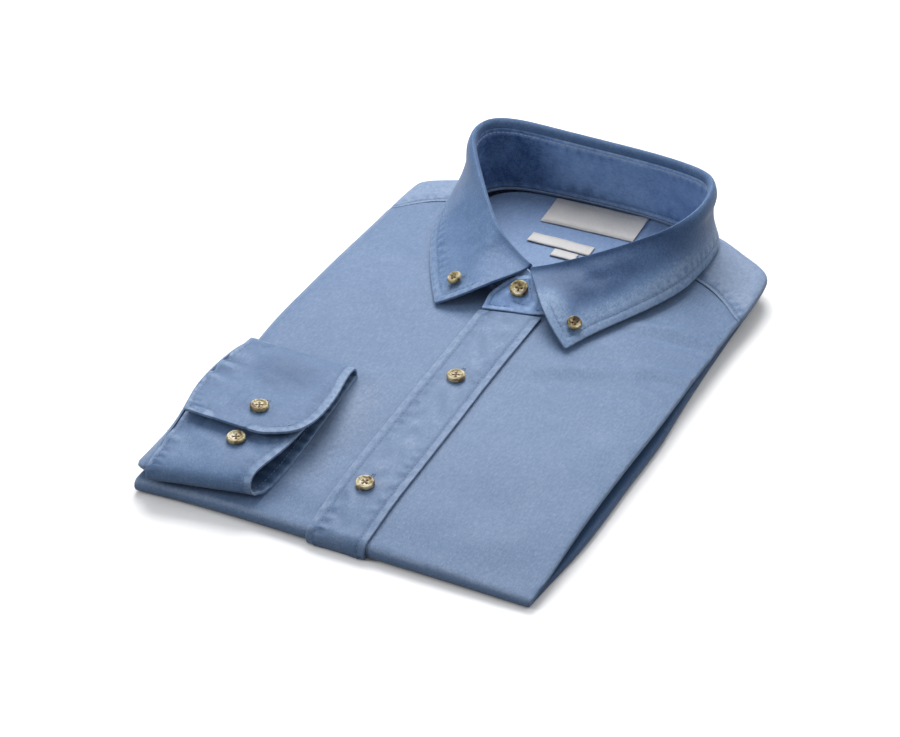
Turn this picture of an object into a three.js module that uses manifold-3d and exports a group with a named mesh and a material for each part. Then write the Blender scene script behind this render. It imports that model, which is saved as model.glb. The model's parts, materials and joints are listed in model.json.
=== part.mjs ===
// A long-sleeved denim shirt with a button-down collar, folded flat as for a shelf.
// Millimetres, +Z up. The shirt lies on its folded tail, the collar towards +Y and the wearer's
// left side towards +X. One cuff is laid on the front, its opening towards +X.
// Every piece is laid out in the garment's own frame, whose zero is the middle of the bottom
// fold on the table. The group is moved at the end, so that its origin is the middle of the
// shirt's footprint.

import * as THREE from 'three';
import { mergeVertices } from 'three/addons/utils/BufferGeometryUtils.js';
import Module from 'manifold-3d';

const wasm = await Module();
wasm.setup();

// ---------------------------------------------------------------- driving dimensions

const CLOTH = 1.2; // one layer of denim
const COLLAR_CLOTH = 1.8; // two layers and the interlining of collar, stand and cuff
const PLACKET_CLOTH = 1.6;
const SEAM = 0.3; // gap between pieces that are sewn to each other
const LABEL_CLOTH = 0.6;

const NECKLINE_TUCK = 2.8; // how far the body reaches in under the collar stand
const CROWN = 2.2; // power of the body's crown: 2 is a parabola, more is flatter
const TURN_IN = 12; // cloth folded in under a side edge
const TAIL_END = 346; // where the folded tail turns back on itself
const TAIL_END_FOLD = 3.5;
const BACK_DROP = 19.4; // height of the back's inside, seen through the neck
const BACK_HALF_WIDTH = 84; // the back's inside lies free of the front within this of the middle

// Buttons: 18 ligne on fronts, stand and cuff, 15 ligne on the collar points.
const BUTTON = { diameter: 11.4, height: 3.0 };
const SMALL_BUTTON = { diameter: 9.3, height: 2.7 };

// The folded body: a row for each cross-section from the bottom fold (y) to the shoulders.
// X is where a side fold stands, Z the cloth's height just inside it, fold its radius.
const BODY = [
  { y: 9, rightX: 126.8, rightZ: 7.6, rightFold: 1.6, leftX: -128.6, leftZ: 10, leftFold: 2.2, middleZ: 11 },
  { y: 25, rightX: 126.8, rightZ: 9.6, rightFold: 1.9, leftX: -127.4, leftZ: 12.2, leftFold: 2.3, middleZ: 14.6 },
  { y: 45, rightX: 126.2, rightZ: 12.2, rightFold: 2.2, leftX: -126.4, leftZ: 15.2, leftFold: 2.6, middleZ: 17.6 },
  { y: 80, rightX: 125, rightZ: 15, rightFold: 2.4, leftX: -126, leftZ: 19, leftFold: 4.4, middleZ: 20.4 },
  { y: 130, rightX: 123.4, rightZ: 15.8, rightFold: 2.4, leftX: -128.4, leftZ: 22, leftFold: 6.2, middleZ: 23 },
  { y: 165, rightX: 122.8, rightZ: 15.6, rightFold: 2.4, leftX: -131.4, leftZ: 23.4, leftFold: 7.8, middleZ: 24.6 },
  { y: 227, rightX: 120.2, rightZ: 15.2, rightFold: 2.4, leftX: -131, leftZ: 23.2, leftFold: 7.8, middleZ: 27.4 },
  { y: 270, rightX: 118.8, rightZ: 15.2, rightFold: 2.4, leftX: -130, leftZ: 23, leftFold: 7.8, middleZ: 27.6 },
  { y: 300, rightX: 118.4, rightZ: 16, rightFold: 2.8, leftX: -129.4, leftZ: 22.6, leftFold: 7.6, middleZ: 26.6 },
  { y: 345, rightX: 117.5, rightZ: 18, rightFold: 4, leftX: -128.4, leftZ: 21, leftFold: 6.8, middleZ: 24 },
  { y: 384, rightX: 112, rightZ: 19, rightFold: 5, leftX: -124, leftZ: 20.5, leftFold: 6, middleZ: 21.6 },
];

// The tail, folded under the body: side edges and the radius of their folds.
const TAIL = [
  { y: 9, rightX: 125, rightFold: 1.6, leftX: -128.6, leftFold: 2.2 },
  { y: 30, rightX: 126.4, rightFold: 2.4, leftX: -126.4, leftFold: 2.4 },
  { y: 60, rightX: 128.6, rightFold: 3.3, leftX: -125, leftFold: 2.5 },
  { y: 85, rightX: 128.8, rightFold: 3.5, leftX: -124.6, leftFold: 2.5 },
  { y: 120, rightX: 126.4, rightFold: 3.6, leftX: -124.4, leftFold: 2.6 },
  { y: 176, rightX: 125.4, rightFold: 3.7, leftX: -126, leftFold: 3.1 },
  { y: 205, rightX: 121.8, rightFold: 3.7, leftX: -126.4, leftFold: 3.2 },
  { y: 240, rightX: 118.4, rightFold: 3.6, leftX: -126, leftFold: 3.2 },
  { y: 300, rightX: 114, rightFold: 3.4, leftX: -124, leftFold: 3.2 },
  { y: 346, rightX: 111, rightFold: 1.5, leftX: -121, leftFold: 1.5 },
];

// The bottom fold: where its front stands and its radius, across the body.
const BOTTOM_FOLD = [
  { x: -130, front: -4.6, radius: 5 },
  { x: -104, front: -1.8, radius: 5.1 },
  { x: -60, front: -0.4, radius: 5.3 },
  { x: 0, front: 0, radius: 5.5 },
  { x: 70, front: 1.2, radius: 5 },
  { x: 127, front: 2, radius: 3.8 },
];

// The two fronts' upper ends: their first and last place along the collar's foot, as row numbers
// in the collar's table, the outer end of the shoulder seam, and the rise of its bow.
const SHOULDER_SEAMS = {
  right: { frontAt: 2, shoulderAt: 7.05, endX: 118.4, endY: 300, bow: 4 },
  left: { frontAt: 21.4, shoulderAt: 16.5, endX: -129.4, endY: 308, bow: 8 },
};

// The outline of the shoulders, seen from above, from the left seam's end round the collar to
// the right seam's end, with the height of the cloth inside the edge and the edge's radius.
const SHOULDERS = [
  { x: -129.4, y: 308.4, z: 22.5, fold: 7.6 },
  { x: -128.8, y: 336, z: 21.6, fold: 7 },
  { x: -125.4, y: 350, z: 20.8, fold: 6.4 },
  { x: -106, y: 361.4, z: 21, fold: 6 },
  { x: -72, y: 375.5, z: 21.6, fold: 5.4 },
  { x: -30, y: 381.5, z: 21.6, fold: 5 },
  { x: 20, y: 382.5, z: 21.4, fold: 5 },
  { x: 66, y: 378, z: 21.2, fold: 5.2 },
  { x: 92, y: 366.6, z: 20.6, fold: 5.6 },
  { x: 110.8, y: 356.2, z: 19.8, fold: 5 },
  { x: 117, y: 344, z: 19.4, fold: 4.2 },
  { x: 118.8, y: 320, z: 17.6, fold: 3.2 },
  { x: 118.5, y: 300.4, z: 16, fold: 2.8 },
];

// The collar, a row for each section round the neck, from the buttonhole end of the stand round
// the wearer's left side, the back and the right side to the button end beneath. base is the
// stand's outer foot, roll the crest over which the leaf falls, edge the leaf's outer edge, and
// rise how much of the stand's full height stands there: its two ends are rounded off. sweep is
// how far the leaf's front edges bow out towards the middle, and is 0 in the rows without it.
const COLLAR = [
  { baseX: -17.5, baseY: 222.4, rollX: -18, rollY: 242, rollZ: 44, rise: 0.5 },
  { baseX: -9, baseY: 224.4, rollX: -9, rollY: 245.2, rollZ: 46.4, rise: 0.95 },
  { baseX: 1.4, baseY: 227.2, rollX: 1, rollY: 248, rollZ: 48, edgeX: 46.5, edgeY: 207.5, edgeZ: 29, rise: 1, sweep: 3.4 },
  { baseX: 18, baseY: 232, rollX: 17, rollY: 257.5, rollZ: 50.6, edgeX: 53.4, edgeY: 228, edgeZ: 29, rise: 1, sweep: 1 },
  { baseX: 39, baseY: 252, rollX: 35, rollY: 275, rollZ: 53, edgeX: 63, edgeY: 249.6, edgeZ: 28.6, rise: 1 },
  { baseX: 55, baseY: 275, rollX: 53, rollY: 294, rollZ: 56.4, edgeX: 72.6, edgeY: 271.6, edgeZ: 28.2, rise: 1 },
  { baseX: 67, baseY: 297, rollX: 67, rollY: 309.6, rollZ: 60, edgeX: 80, edgeY: 295, edgeZ: 27.6, rise: 1 },
  { baseX: 76, baseY: 319, rollX: 76.8, rollY: 327, rollZ: 65.4, edgeX: 82.4, edgeY: 320, edgeZ: 26.4, rise: 1 },
  { baseX: 78.4, baseY: 341, rollX: 78.2, rollY: 344, rollZ: 68.4, edgeX: 80.6, edgeY: 343, edgeZ: 24.8, rise: 1 },
  { baseX: 74.4, baseY: 359, rollX: 74, rollY: 359.4, rollZ: 69.4, edgeX: 76.4, edgeY: 362, edgeZ: 23.6, rise: 1 },
  { baseX: 62, baseY: 369.4, rollX: 61.4, rollY: 371.6, rollZ: 68.8, edgeX: 64.6, edgeY: 376, edgeZ: 23.4, rise: 1 },
  { baseX: 30, baseY: 374, rollX: 30, rollY: 376, rollZ: 68.4, edgeX: 31, edgeY: 380, edgeZ: 23.4, rise: 1 },
  { baseX: -4, baseY: 373.4, rollX: -4, rollY: 375.6, rollZ: 68.4, edgeX: -4, edgeY: 379.6, edgeZ: 23.4, rise: 1 },
  { baseX: -36, baseY: 370.8, rollX: -37.6, rollY: 374, rollZ: 68.8, edgeX: -38, edgeY: 377.6, edgeZ: 23.4, rise: 1 },
  { baseX: -65, baseY: 366.4, rollX: -69, rollY: 371, rollZ: 69.8, edgeX: -70, edgeY: 374, edgeZ: 23.6, rise: 1 },
  { baseX: -80.4, baseY: 355, rollX: -86, rollY: 361, rollZ: 70, edgeX: -88, edgeY: 362, edgeZ: 25, rise: 1 },
  { baseX: -84, baseY: 337, rollX: -88, rollY: 342, rollZ: 69, edgeX: -94, edgeY: 341, edgeZ: 26.6, rise: 1 },
  { baseX: -76, baseY: 316, rollX: -76, rollY: 322, rollZ: 64, edgeX: -93, edgeY: 317, edgeZ: 28, rise: 1 },
  { baseX: -59, baseY: 291, rollX: -57, rollY: 297, rollZ: 58.6, edgeX: -86, edgeY: 290, edgeZ: 28.6, rise: 1 },
  { baseX: -40, baseY: 265, rollX: -38, rollY: 275.6, rollZ: 53.6, edgeX: -74, edgeY: 262, edgeZ: 29, rise: 1 },
  { baseX: -20, baseY: 242, rollX: -17, rollY: 258.6, rollZ: 50.6, edgeX: -60, edgeY: 237, edgeZ: 29.4, rise: 1, sweep: -2 },
  { baseX: -5, baseY: 233, rollX: -2.4, rollY: 250.6, rollZ: 48.8, edgeX: -45.6, edgeY: 214.6, edgeZ: 29.4, rise: 1, sweep: -5.6 },
  { baseX: 3, baseY: 231, rollX: 5, rollY: 250.4, rollZ: 47, rise: 0.8 },
  { baseX: 11, baseY: 232.6, rollX: 12, rollY: 251, rollZ: 45.6, rise: 0.35 },
];
const LEAF_FIRST = 2; // the leaf's first and last rows in the table above
const LEAF_LAST = 21;
const ROLL_RADIUS = 2.5;
const LEAF_SEAM_DROP = 6; // the leaf's seam lies this far below the crest, inside the neck
const LEAF_BELLY = 3.4; // how far the leaf bows out between crest and edge

// The cuff's section round the wrist, from the free edge of its overlap over the top, round the
// back fold, beneath and round the front fold to the end that lies inside. open is the edge at
// the opening, seam the edge sewn to the sleeve. A row with under: 1 rests on the body.
const CUFF = [
  { openX: -67, openY: 38.4, openZ: 37, seamX: -118, seamY: 39.4, seamZ: 37, under: 0 },
  { openX: -50.4, openY: 48.6, openZ: 37.2, seamX: -120.6, seamY: 50, seamZ: 37.2, under: 0 },
  { openX: -44.4, openY: 65, openZ: 37, seamX: -123, seamY: 66, seamZ: 37.4, under: 0 },
  { openX: -46, openY: 91, openZ: 35.6, seamX: -124.4, seamY: 94, seamZ: 35.2, under: 0 },
  { openX: -52, openY: 118, openZ: 33.4, seamX: -123.6, seamY: 120, seamZ: 32.8, under: 0 },
  { openX: -53.4, openY: 131.2, openZ: 28, seamX: -123.8, seamY: 129, seamZ: 28, under: 0 },
  { openX: -52.5, openY: 124, openZ: 0, seamX: -123.8, seamY: 121, seamZ: 0, under: 1 },
  { openX: -50, openY: 84, openZ: 0, seamX: -123, seamY: 84, seamZ: 0, under: 1 },
  { openX: -48.2, openY: 40, openZ: 0, seamX: -121.4, seamY: 40, seamZ: 0, under: 1 },
  { openX: -51.4, openY: 14, openZ: 13.6, seamX: -118.6, seamY: 5, seamZ: 12.6, under: 0 },
  { openX: -54, openY: 6, openZ: 17.6, seamX: -118, seamY: -5.6, seamZ: 14.6, under: 0 },
  { openX: -55.6, openY: 6.4, openZ: 24.2, seamX: -118, seamY: -4.6, seamZ: 23.4, under: 0 },
  { openX: -56, openY: 15, openZ: 28.6, seamX: -118.4, seamY: 10, seamZ: 27.4, under: 0 },
  { openX: -51, openY: 38, openZ: 31, seamX: -119.8, seamY: 40, seamZ: 30.6, under: 0 },
  { openX: -49.4, openY: 62, openZ: 32.6, seamX: -121.6, seamY: 62, seamZ: 33.4, under: 0 },
];
const CUFF_LIFT = 0.4; // the cuff rests this far off the front

// The sleeve between cuff and tail: a flattened tube that goes over the body's left edge and in
// under it. Its head is sewn to the cuff: x, top and bottom across its width.
const SLEEVE_HEAD = [
  { y: -3, x: -118.6, top: 22.6, bottom: 16.6 },
  { y: 12, x: -119, top: 27.4, bottom: 14.6 },
  { y: 40, x: -120.4, top: 30.2, bottom: 17.4 },
  { y: 58, x: -123.4, top: 35.4, bottom: 19.4 },
  { y: 94, x: -125.4, top: 34.2, bottom: 21.8 },
  { y: 118, x: -124.6, top: 31.8, bottom: 23.4 },
  { y: 128, x: -125, top: 28.6, bottom: 25 },
];
const SLEEVE_HEM = 1.2; // the tube runs this far straight out of the cuff

// Then a row for each section below: the middle of its front and back folds (y), the tube's
// middle layer (x, and its height before and behind the step of the cuff's overlap), half its
// thickness, and how far it leans over from flat.
const SLEEVE = [
  { frontY: -1, backY: 125.6, x: -125.8, frontZ: 17.6, backZ: 26.4, half: 2.7, lean: 54 },
  { frontY: 4, backY: 124.6, x: -128.2, frontZ: 14.6, backZ: 21.2, half: 2.4, lean: 66 },
  { frontY: 14, backY: 123, x: -131.2, frontZ: 12, backZ: 17, half: 2, lean: 84 },
  { frontY: 26, backY: 121, x: -131, frontZ: 9, backZ: 12, half: 1.9, lean: 104 },
  { frontY: 38, backY: 119.6, x: -128.4, frontZ: 7.8, backZ: 8.6, half: 1.7, lean: 145 },
  { frontY: 46, backY: 118, x: -123.6, frontZ: 7.4, backZ: 7.4, half: 1.6, lean: 178 },
];
const SLEEVE_STEP = { from: 38, to: 78 };

// ---------------------------------------------------------------- reading the tables

// A smooth curve through one column of a table, at any place along its key column.
function readTable(rows, key, at, column) {
  const last = rows.length - 1;
  const place = Math.min(Math.max(at, rows[0][key]), rows[last][key]);
  let i = 0;
  while (i < last - 1 && rows[i + 1][key] < place) i += 1;
  const slope = (k) => {
    const before = rows[Math.max(k - 1, 0)];
    const after = rows[Math.min(k + 1, last)];
    return (after[column] - before[column]) / (after[key] - before[key]);
  };
  const span = rows[i + 1][key] - rows[i][key];
  const t = (place - rows[i][key]) / span;
  const h = t * t * (3 - 2 * t);
  const start = t * (1 - t) * (1 - t) * span * slope(i);
  const end = t * t * (t - 1) * span * slope(i + 1);
  return rows[i][column] * (1 - h) + rows[i + 1][column] * h + start + end;
}

// The same, with the row's number as the key.
function readRows(rows, at, column) {
  const numbered = rows.map((row, number) => ({ ...row, number }));
  return readTable(numbered, 'number', at, column);
}

function mix(a, b, t) {
  return a + (b - a) * t;
}

// ---------------------------------------------------------------- solids from surfaces

// A wall of cloth: the grid is its outer face, and the inner face lies one thickness behind it.
// turn is 1 or -1 and says on which side. A ring grid closes on itself along its columns.
function wallGeometry(grid, thickness, turn, ring = false) {
  const rows = grid.length;
  const columns = grid[0].length;
  const inner = grid.map((row, i) => row.map((point, j) => {
    const up = grid[Math.min(i + 1, rows - 1)][j];
    const down = grid[Math.max(i - 1, 0)][j];
    const nextColumn = ring ? (j + 1) % columns : Math.min(j + 1, columns - 1);
    const lastColumn = ring ? (j + columns - 1) % columns : Math.max(j - 1, 0);
    const along = new THREE.Vector3().subVectors(up, down);
    const across = new THREE.Vector3().subVectors(row[nextColumn], row[lastColumn]);
    const normal = along.cross(across).normalize();
    return point.clone().addScaledVector(normal, thickness * turn);
  }));
  const vertices = [...grid.flat(), ...inner.flat()];
  const far = rows * columns;
  const faces = [];
  const quad = (a, b, c, d) => faces.push([a, b, c], [a, c, d]);
  const steps = ring ? columns : columns - 1;
  for (let i = 0; i < rows - 1; i += 1) {
    for (let j = 0; j < steps; j += 1) {
      const next = (j + 1) % columns;
      const a = i * columns + j;
      const b = i * columns + next;
      quad(a, b, b + columns, a + columns);
      quad(far + a, far + a + columns, far + b + columns, far + b);
    }
  }
  for (let j = 0; j < steps; j += 1) {
    const next = (j + 1) % columns;
    const end = (rows - 1) * columns;
    quad(j, far + j, far + next, next);
    quad(end + j, end + next, far + end + next, far + end + j);
  }
  for (let i = 0; i < rows - 1 && !ring; i += 1) {
    const a = i * columns;
    const b = a + columns - 1;
    quad(a, a + columns, far + a + columns, far + a);
    quad(b, far + b, far + b + columns, b + columns);
  }
  return closedGeometry(vertices, faces);
}

// A solid through closed sections of the same number of points, with flat ends.
function loftGeometry(sections) {
  const count = sections[0].length;
  const vertices = sections.flat();
  const faces = [];
  for (let i = 0; i < sections.length - 1; i += 1) {
    for (let j = 0; j < count; j += 1) {
      const a = i * count + j;
      const b = i * count + ((j + 1) % count);
      faces.push([a, b, b + count], [a, b + count, a + count]);
    }
  }
  const outline = (section) => section.map((point) => new THREE.Vector2(point.x, point.z));
  const end = (sections.length - 1) * count;
  for (const [a, b, c] of THREE.ShapeUtils.triangulateShape(outline(sections[0]), [])) {
    faces.push([a, c, b]);
  }
  for (const [a, b, c] of THREE.ShapeUtils.triangulateShape(outline(sections.at(-1)), [])) {
    faces.push([end + a, end + b, end + c]);
  }
  return closedGeometry(vertices, faces);
}

// Faces and vertices made a geometry whose faces point out of the solid.
function closedGeometry(vertices, faces) {
  let volume = 0;
  for (const [a, b, c] of faces) {
    volume += vertices[a].dot(new THREE.Vector3().crossVectors(vertices[b], vertices[c]));
  }
  const turned = volume < 0 ? faces.map(([a, b, c]) => [a, c, b]) : faces;
  const geometry = new THREE.BufferGeometry();
  const numbers = vertices.flatMap((point) => [point.x, point.y, point.z]);
  geometry.setAttribute('position', new THREE.Float32BufferAttribute(numbers, 3));
  geometry.setIndex(turned.flat());
  return geometry;
}

// ---------------------------------------------------------------- the body's surfaces

// Height of the folded body's top at any place.
function topHeight(x, y) {
  const side = x >= 0 ? 'right' : 'left';
  const edge = Math.abs(readTable(BODY, 'y', y, `${side}X`));
  const edgeZ = readTable(BODY, 'y', y, `${side}Z`);
  const middleZ = readTable(BODY, 'y', y, 'middleZ');
  const reach = Math.min(Math.abs(x) / edge, 1);
  return edgeZ + (middleZ - edgeZ) * (1 - reach ** CROWN);
}

// The front's path from shoulder seam to tail. Each carrier gives, for a place across the body,
// the outer point and the direction into the fold.
function topCarrier(y, bow = 0, from = 0, to = 1) {
  return (x) => {
    const t = Math.min(Math.max((x - from) / (to - from), 0), 1);
    const bowed = y(t) + 4 * bow * t * (1 - t);
    return { point: new THREE.Vector3(x, bowed, topHeight(x, bowed)), inward: new THREE.Vector3(0, 0, -1) };
  };
}

function bottomFoldCarrier(angle, proud = 0) {
  return (x) => {
    const radius = readTable(BOTTOM_FOLD, 'x', x, 'radius');
    const middleY = readTable(BOTTOM_FOLD, 'x', x, 'front') + radius;
    const inward = new THREE.Vector3(0, Math.sin(angle), -Math.cos(angle));
    const middle = new THREE.Vector3(x, middleY, radius);
    return { point: middle.addScaledVector(inward, -radius - proud), inward };
  };
}

function tailCarrier(y) {
  return (x) => ({ point: new THREE.Vector3(x, y, 0), inward: new THREE.Vector3(0, 0, 1) });
}

function tailEndCarrier(angle) {
  return (x) => {
    const inward = new THREE.Vector3(0, -Math.sin(angle), Math.cos(angle));
    const middle = new THREE.Vector3(x, TAIL_END, TAIL_END_FOLD);
    return { point: middle.addScaledVector(inward, -TAIL_END_FOLD), inward };
  };
}

// One row of a front: across the body from the inner edge to the side, round the side fold and
// in under it.
function frontRow(carrier, innerX, outerX, fold, turnIn) {
  const acrossSteps = 9;
  const foldSteps = 4;
  const side = Math.sign(outerX);
  const rootX = outerX - side * fold;
  const points = [];
  for (let k = 0; k <= acrossSteps; k += 1) {
    points.push(carrier(mix(innerX, rootX, k / acrossSteps)).point);
  }
  const root = carrier(rootX);
  for (let k = 1; k <= foldSteps; k += 1) {
    const angle = (Math.PI * k) / foldSteps;
    const point = root.point.clone().addScaledVector(root.inward, fold * (1 - Math.cos(angle)));
    point.x += side * fold * Math.sin(angle);
    points.push(point);
  }
  const end = points.at(-1).clone();
  end.x -= side * turnIn;
  points.push(end);
  return points;
}

// The body's edge under the collar's foot, at a place along the collar's table.
function neckEdge(at) {
  return collarPoint(at, 'base').addScaledVector(collarOutward(at), -NECKLINE_TUCK);
}

function frontGrid(side) {
  const sign = side === 'right' ? 1 : -1;
  const seam = SHOULDER_SEAMS[side];
  const centre = sign > 0 ? 1 + SEAM / 2 : 1 - SEAM / 2;
  const grid = [];
  const edgeAt = (rows, y, column) => readTable(rows, 'y', y, `${side}${column}`);
  const neckRows = 8;
  for (let i = neckRows; i > 0; i -= 1) {
    const t = i / neckRows;
    const inner = neckEdge(mix(seam.frontAt, seam.shoulderAt, t));
    const outerY = mix(234, seam.endY, t);
    const outerX = mix(edgeAt(BODY, outerY, 'X'), seam.endX, t ** 6);
    const fold = edgeAt(BODY, outerY, 'Fold');
    const rootX = outerX - sign * fold;
    const carrier = topCarrier((k) => mix(inner.y, outerY, k), seam.bow * t ** 4, inner.x, rootX);
    grid.push(frontRow(carrier, inner.x, outerX, fold, TURN_IN));
  }
  for (const y of [229, 205, 180, 155, 130, 105, 82, 62, 45, 32, 21, 14]) {
    const turnIn = TURN_IN * Math.min(1, Math.max((y - 6) / 40, 0.1));
    const carrier = topCarrier(() => y);
    grid.push(frontRow(carrier, centre, edgeAt(BODY, y, 'X'), edgeAt(BODY, y, 'Fold'), turnIn));
  }
  const foldRows = 6;
  for (let i = 0; i <= foldRows; i += 1) {
    const t = i / foldRows;
    const edge = mix(edgeAt(BODY, 9, 'X'), edgeAt(TAIL, 9, 'X'), t);
    const fold = edgeAt(BODY, 9, 'Fold');
    grid.push(frontRow(bottomFoldCarrier(Math.PI * t), centre, edge, fold, 0.8));
  }
  for (const y of [22, 45, 70, 100, 135, 176, 205, 240, 300, TAIL_END]) {
    const reach = Math.min(1, (y - 6) / 40, (TAIL_END + 8 - y) / 40);
    grid.push(frontRow(tailCarrier(y), centre, edgeAt(TAIL, y, 'X'), edgeAt(TAIL, y, 'Fold'), TURN_IN * reach));
  }
  const endRows = 4;
  const endEdge = edgeAt(TAIL, TAIL_END, 'X');
  for (let i = 1; i <= endRows; i += 1) {
    const carrier = tailEndCarrier((Math.PI * i) / endRows);
    grid.push(frontRow(carrier, centre, endEdge, edgeAt(TAIL, TAIL_END, 'Fold'), 0.8));
  }
  return grid;
}

// The placket lies on both fronts over their middle and goes round the bottom fold with them.
const PLACKET_EDGES = [
  { y: 9, leftX: -15.4, rightX: 22.2 },
  { y: 90, leftX: -16.4, rightX: 22 },
  { y: 150, leftX: -17.4, rightX: 20 },
  { y: 229, leftX: -18.8, rightX: 18.8 },
];
const PLACKET_TOP = 226.2;
const PLACKET_SLANT = 0.26; // the neckline falls towards the wearer's right

function placketGrid() {
  const proud = SEAM + PLACKET_CLOTH;
  const columns = 6;
  const grid = [];
  const row = (y, pointAt) => {
    const left = readTable(PLACKET_EDGES, 'y', y, 'leftX');
    const right = readTable(PLACKET_EDGES, 'y', y, 'rightX');
    grid.push(Array.from({ length: columns + 1 }, (_, k) => pointAt(mix(left, right, k / columns))));
  };
  for (const y of [PLACKET_TOP, 205, 180, 155, 130, 105, 82, 62, 45, 32, 21, 14]) {
    const slant = y === PLACKET_TOP ? PLACKET_SLANT : 0;
    row(y, (x) => {
      const placeY = y + slant * (x - 2);
      return new THREE.Vector3(x, placeY, topHeight(x, placeY) + proud);
    });
  }
  const lastAngle = (130 * Math.PI) / 180;
  const steps = 5;
  for (let i = 0; i <= steps; i += 1) {
    const carrier = bottomFoldCarrier((lastAngle * i) / steps, proud);
    row(9, (x) => carrier(x).point);
  }
  return grid;
}

// The back's inside, a shallow dish under the neck opening.
function backHeight(x, y) {
  return BACK_DROP + 0.8 * Math.max(0, (y - 330) / 45) - 0.9 * (x / 80) ** 2;
}

function backGrid() {
  const edge = [
    { y: 212, half: 62 },
    { y: 240, half: 70 },
    { y: 280, half: 76 },
    { y: 320, half: 80 },
    { y: 346, half: 79 },
    { y: 360, half: 73 },
    { y: 368, half: 62 },
    { y: 372, half: 46 },
  ];
  const columns = 8;
  return edge.map(({ y, half }) => Array.from({ length: columns + 1 }, (_, k) => {
    const x = mix(-half - 3, half - 1, k / columns);
    const placeY = y + 0.05 * (x + 3);
    return new THREE.Vector3(x, placeY, backHeight(x, placeY));
  }));
}

// The yoke, from the neckline and the two shoulder seams out over the shoulders' edge.
function yokeGrid() {
  const ribs = 30;
  const columns = 4;
  const foldSteps = 4;
  const turnIn = 7;
  const grid = [];
  for (let i = 0; i <= ribs; i += 1) {
    const t = i / ribs;
    const at = t * (SHOULDERS.length - 1);
    const outer = new THREE.Vector3(readRows(SHOULDERS, at, 'x'), readRows(SHOULDERS, at, 'y'), 0);
    const before = Math.max(at - 0.2, 0);
    const after = Math.min(at + 0.2, SHOULDERS.length - 1);
    const along = new THREE.Vector3(
      readRows(SHOULDERS, after, 'x') - readRows(SHOULDERS, before, 'x'),
      readRows(SHOULDERS, after, 'y') - readRows(SHOULDERS, before, 'y'),
      0,
    ).normalize();
    const outward = new THREE.Vector3(-along.y, along.x, 0);
    const fold = readRows(SHOULDERS, at, 'fold');
    const edgeZ = readRows(SHOULDERS, at, 'z');
    const root = outer.clone().addScaledVector(outward, -fold);
    const sewn = 0.06; // the seam's gap, as a share of a row of the collar's table
    const inner = neckEdge(mix(SHOULDER_SEAMS.left.shoulderAt - sewn, SHOULDER_SEAMS.right.shoulderAt + sewn, t));
    const seam = t < 0.5 ? SHOULDER_SEAMS.left : SHOULDER_SEAMS.right;
    const fromSeam = Math.min(t, 1 - t) * 2;
    const bow = (seam.bow + 2.4 * SEAM) * Math.max(0, 1 - fromSeam * 6);
    const row = [];
    for (let k = 0; k <= columns; k += 1) {
      const r = k / columns;
      const x = mix(inner.x, root.x, r);
      const y = mix(inner.y, root.y, r) + 4 * bow * r * (1 - r);
      const blend = r ** 3;
      row.push(new THREE.Vector3(x, y, mix(topHeight(x, y), edgeZ, blend)));
    }
    for (let k = 1; k <= foldSteps; k += 1) {
      const angle = (Math.PI * k) / foldSteps;
      const point = root.clone().addScaledVector(outward, fold * Math.sin(angle));
      point.z = edgeZ - fold * (1 - Math.cos(angle));
      row.push(point);
    }
    const end = root.clone().addScaledVector(outward, -turnIn);
    end.z = edgeZ - 2 * fold;
    row.push(end);
    grid.push(row);
  }
  return grid;
}

// ---------------------------------------------------------------- the collar

function collarPoint(at, name) {
  const onLeaf = name === 'edge';
  const rows = onLeaf ? COLLAR.slice(LEAF_FIRST, LEAF_LAST + 1) : COLLAR;
  const place = onLeaf ? at - LEAF_FIRST : at;
  const x = readRows(rows, place, `${name}X`);
  const y = readRows(rows, place, `${name}Y`);
  const z = name === 'base' ? 0 : readRows(rows, place, `${name}Z`);
  return new THREE.Vector3(x, y, z);
}

// Away from the neck, square to the foot of the stand.
function collarOutward(at) {
  const last = COLLAR.length - 1;
  const after = collarPoint(Math.min(at + 0.25, last), 'base');
  const before = collarPoint(Math.max(at - 0.25, 0), 'base');
  const along = after.sub(before).normalize();
  return new THREE.Vector3(along.y, -along.x, 0);
}

const STAND_FOOT = 0.35;
const STAND_OVER_PLACKET = 29.9; // the stand's foot where it crosses the placket's top

function standFoot(at) {
  const foot = collarPoint(at, 'base');
  const outward = collarOutward(at);
  const inside = foot.clone().addScaledVector(outward, -COLLAR_CLOTH);
  const top = standTop(at);
  const resting = Math.max(topHeight(foot.x, foot.y), topHeight(inside.x, inside.y));
  const run = Math.hypot(top.x - foot.x, top.y - foot.y);
  const slope = run / Math.hypot(run, top.z - resting);
  const overPlacket = foot.y < 300 ? Math.max(0, 1 - Math.abs(foot.x) / 34) : 0;
  const onCloth = resting + STAND_FOOT + COLLAR_CLOTH * slope;
  foot.z = Math.max(onCloth, mix(onCloth, STAND_OVER_PLACKET, Math.min(1, overPlacket * 1.7)));
  return foot;
}

// The stand's upper edge, just under the seam of the leaf.
function standTop(at) {
  const top = leafSeam(at).addScaledVector(collarOutward(at), COLLAR_CLOTH);
  top.z -= SEAM;
  return top;
}

// Where the leaf is sewn to the stand, inside the neck below the crest.
function leafSeam(at) {
  const seam = collarPoint(at, 'roll').addScaledVector(collarOutward(at), -2 * ROLL_RADIUS);
  seam.z -= LEAF_SEAM_DROP;
  return seam;
}

function standGrid() {
  const stations = 58;
  const rises = 3;
  const grid = [];
  for (let i = 0; i <= stations; i += 1) {
    const at = (i / stations) * (COLLAR.length - 1);
    const foot = standFoot(at);
    const top = standTop(at);
    const rise = readRows(COLLAR, at, 'rise');
    grid.push(Array.from({ length: rises + 1 }, (_, k) => foot.clone().lerp(top, (rise * k) / rises)));
  }
  return grid;
}

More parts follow.
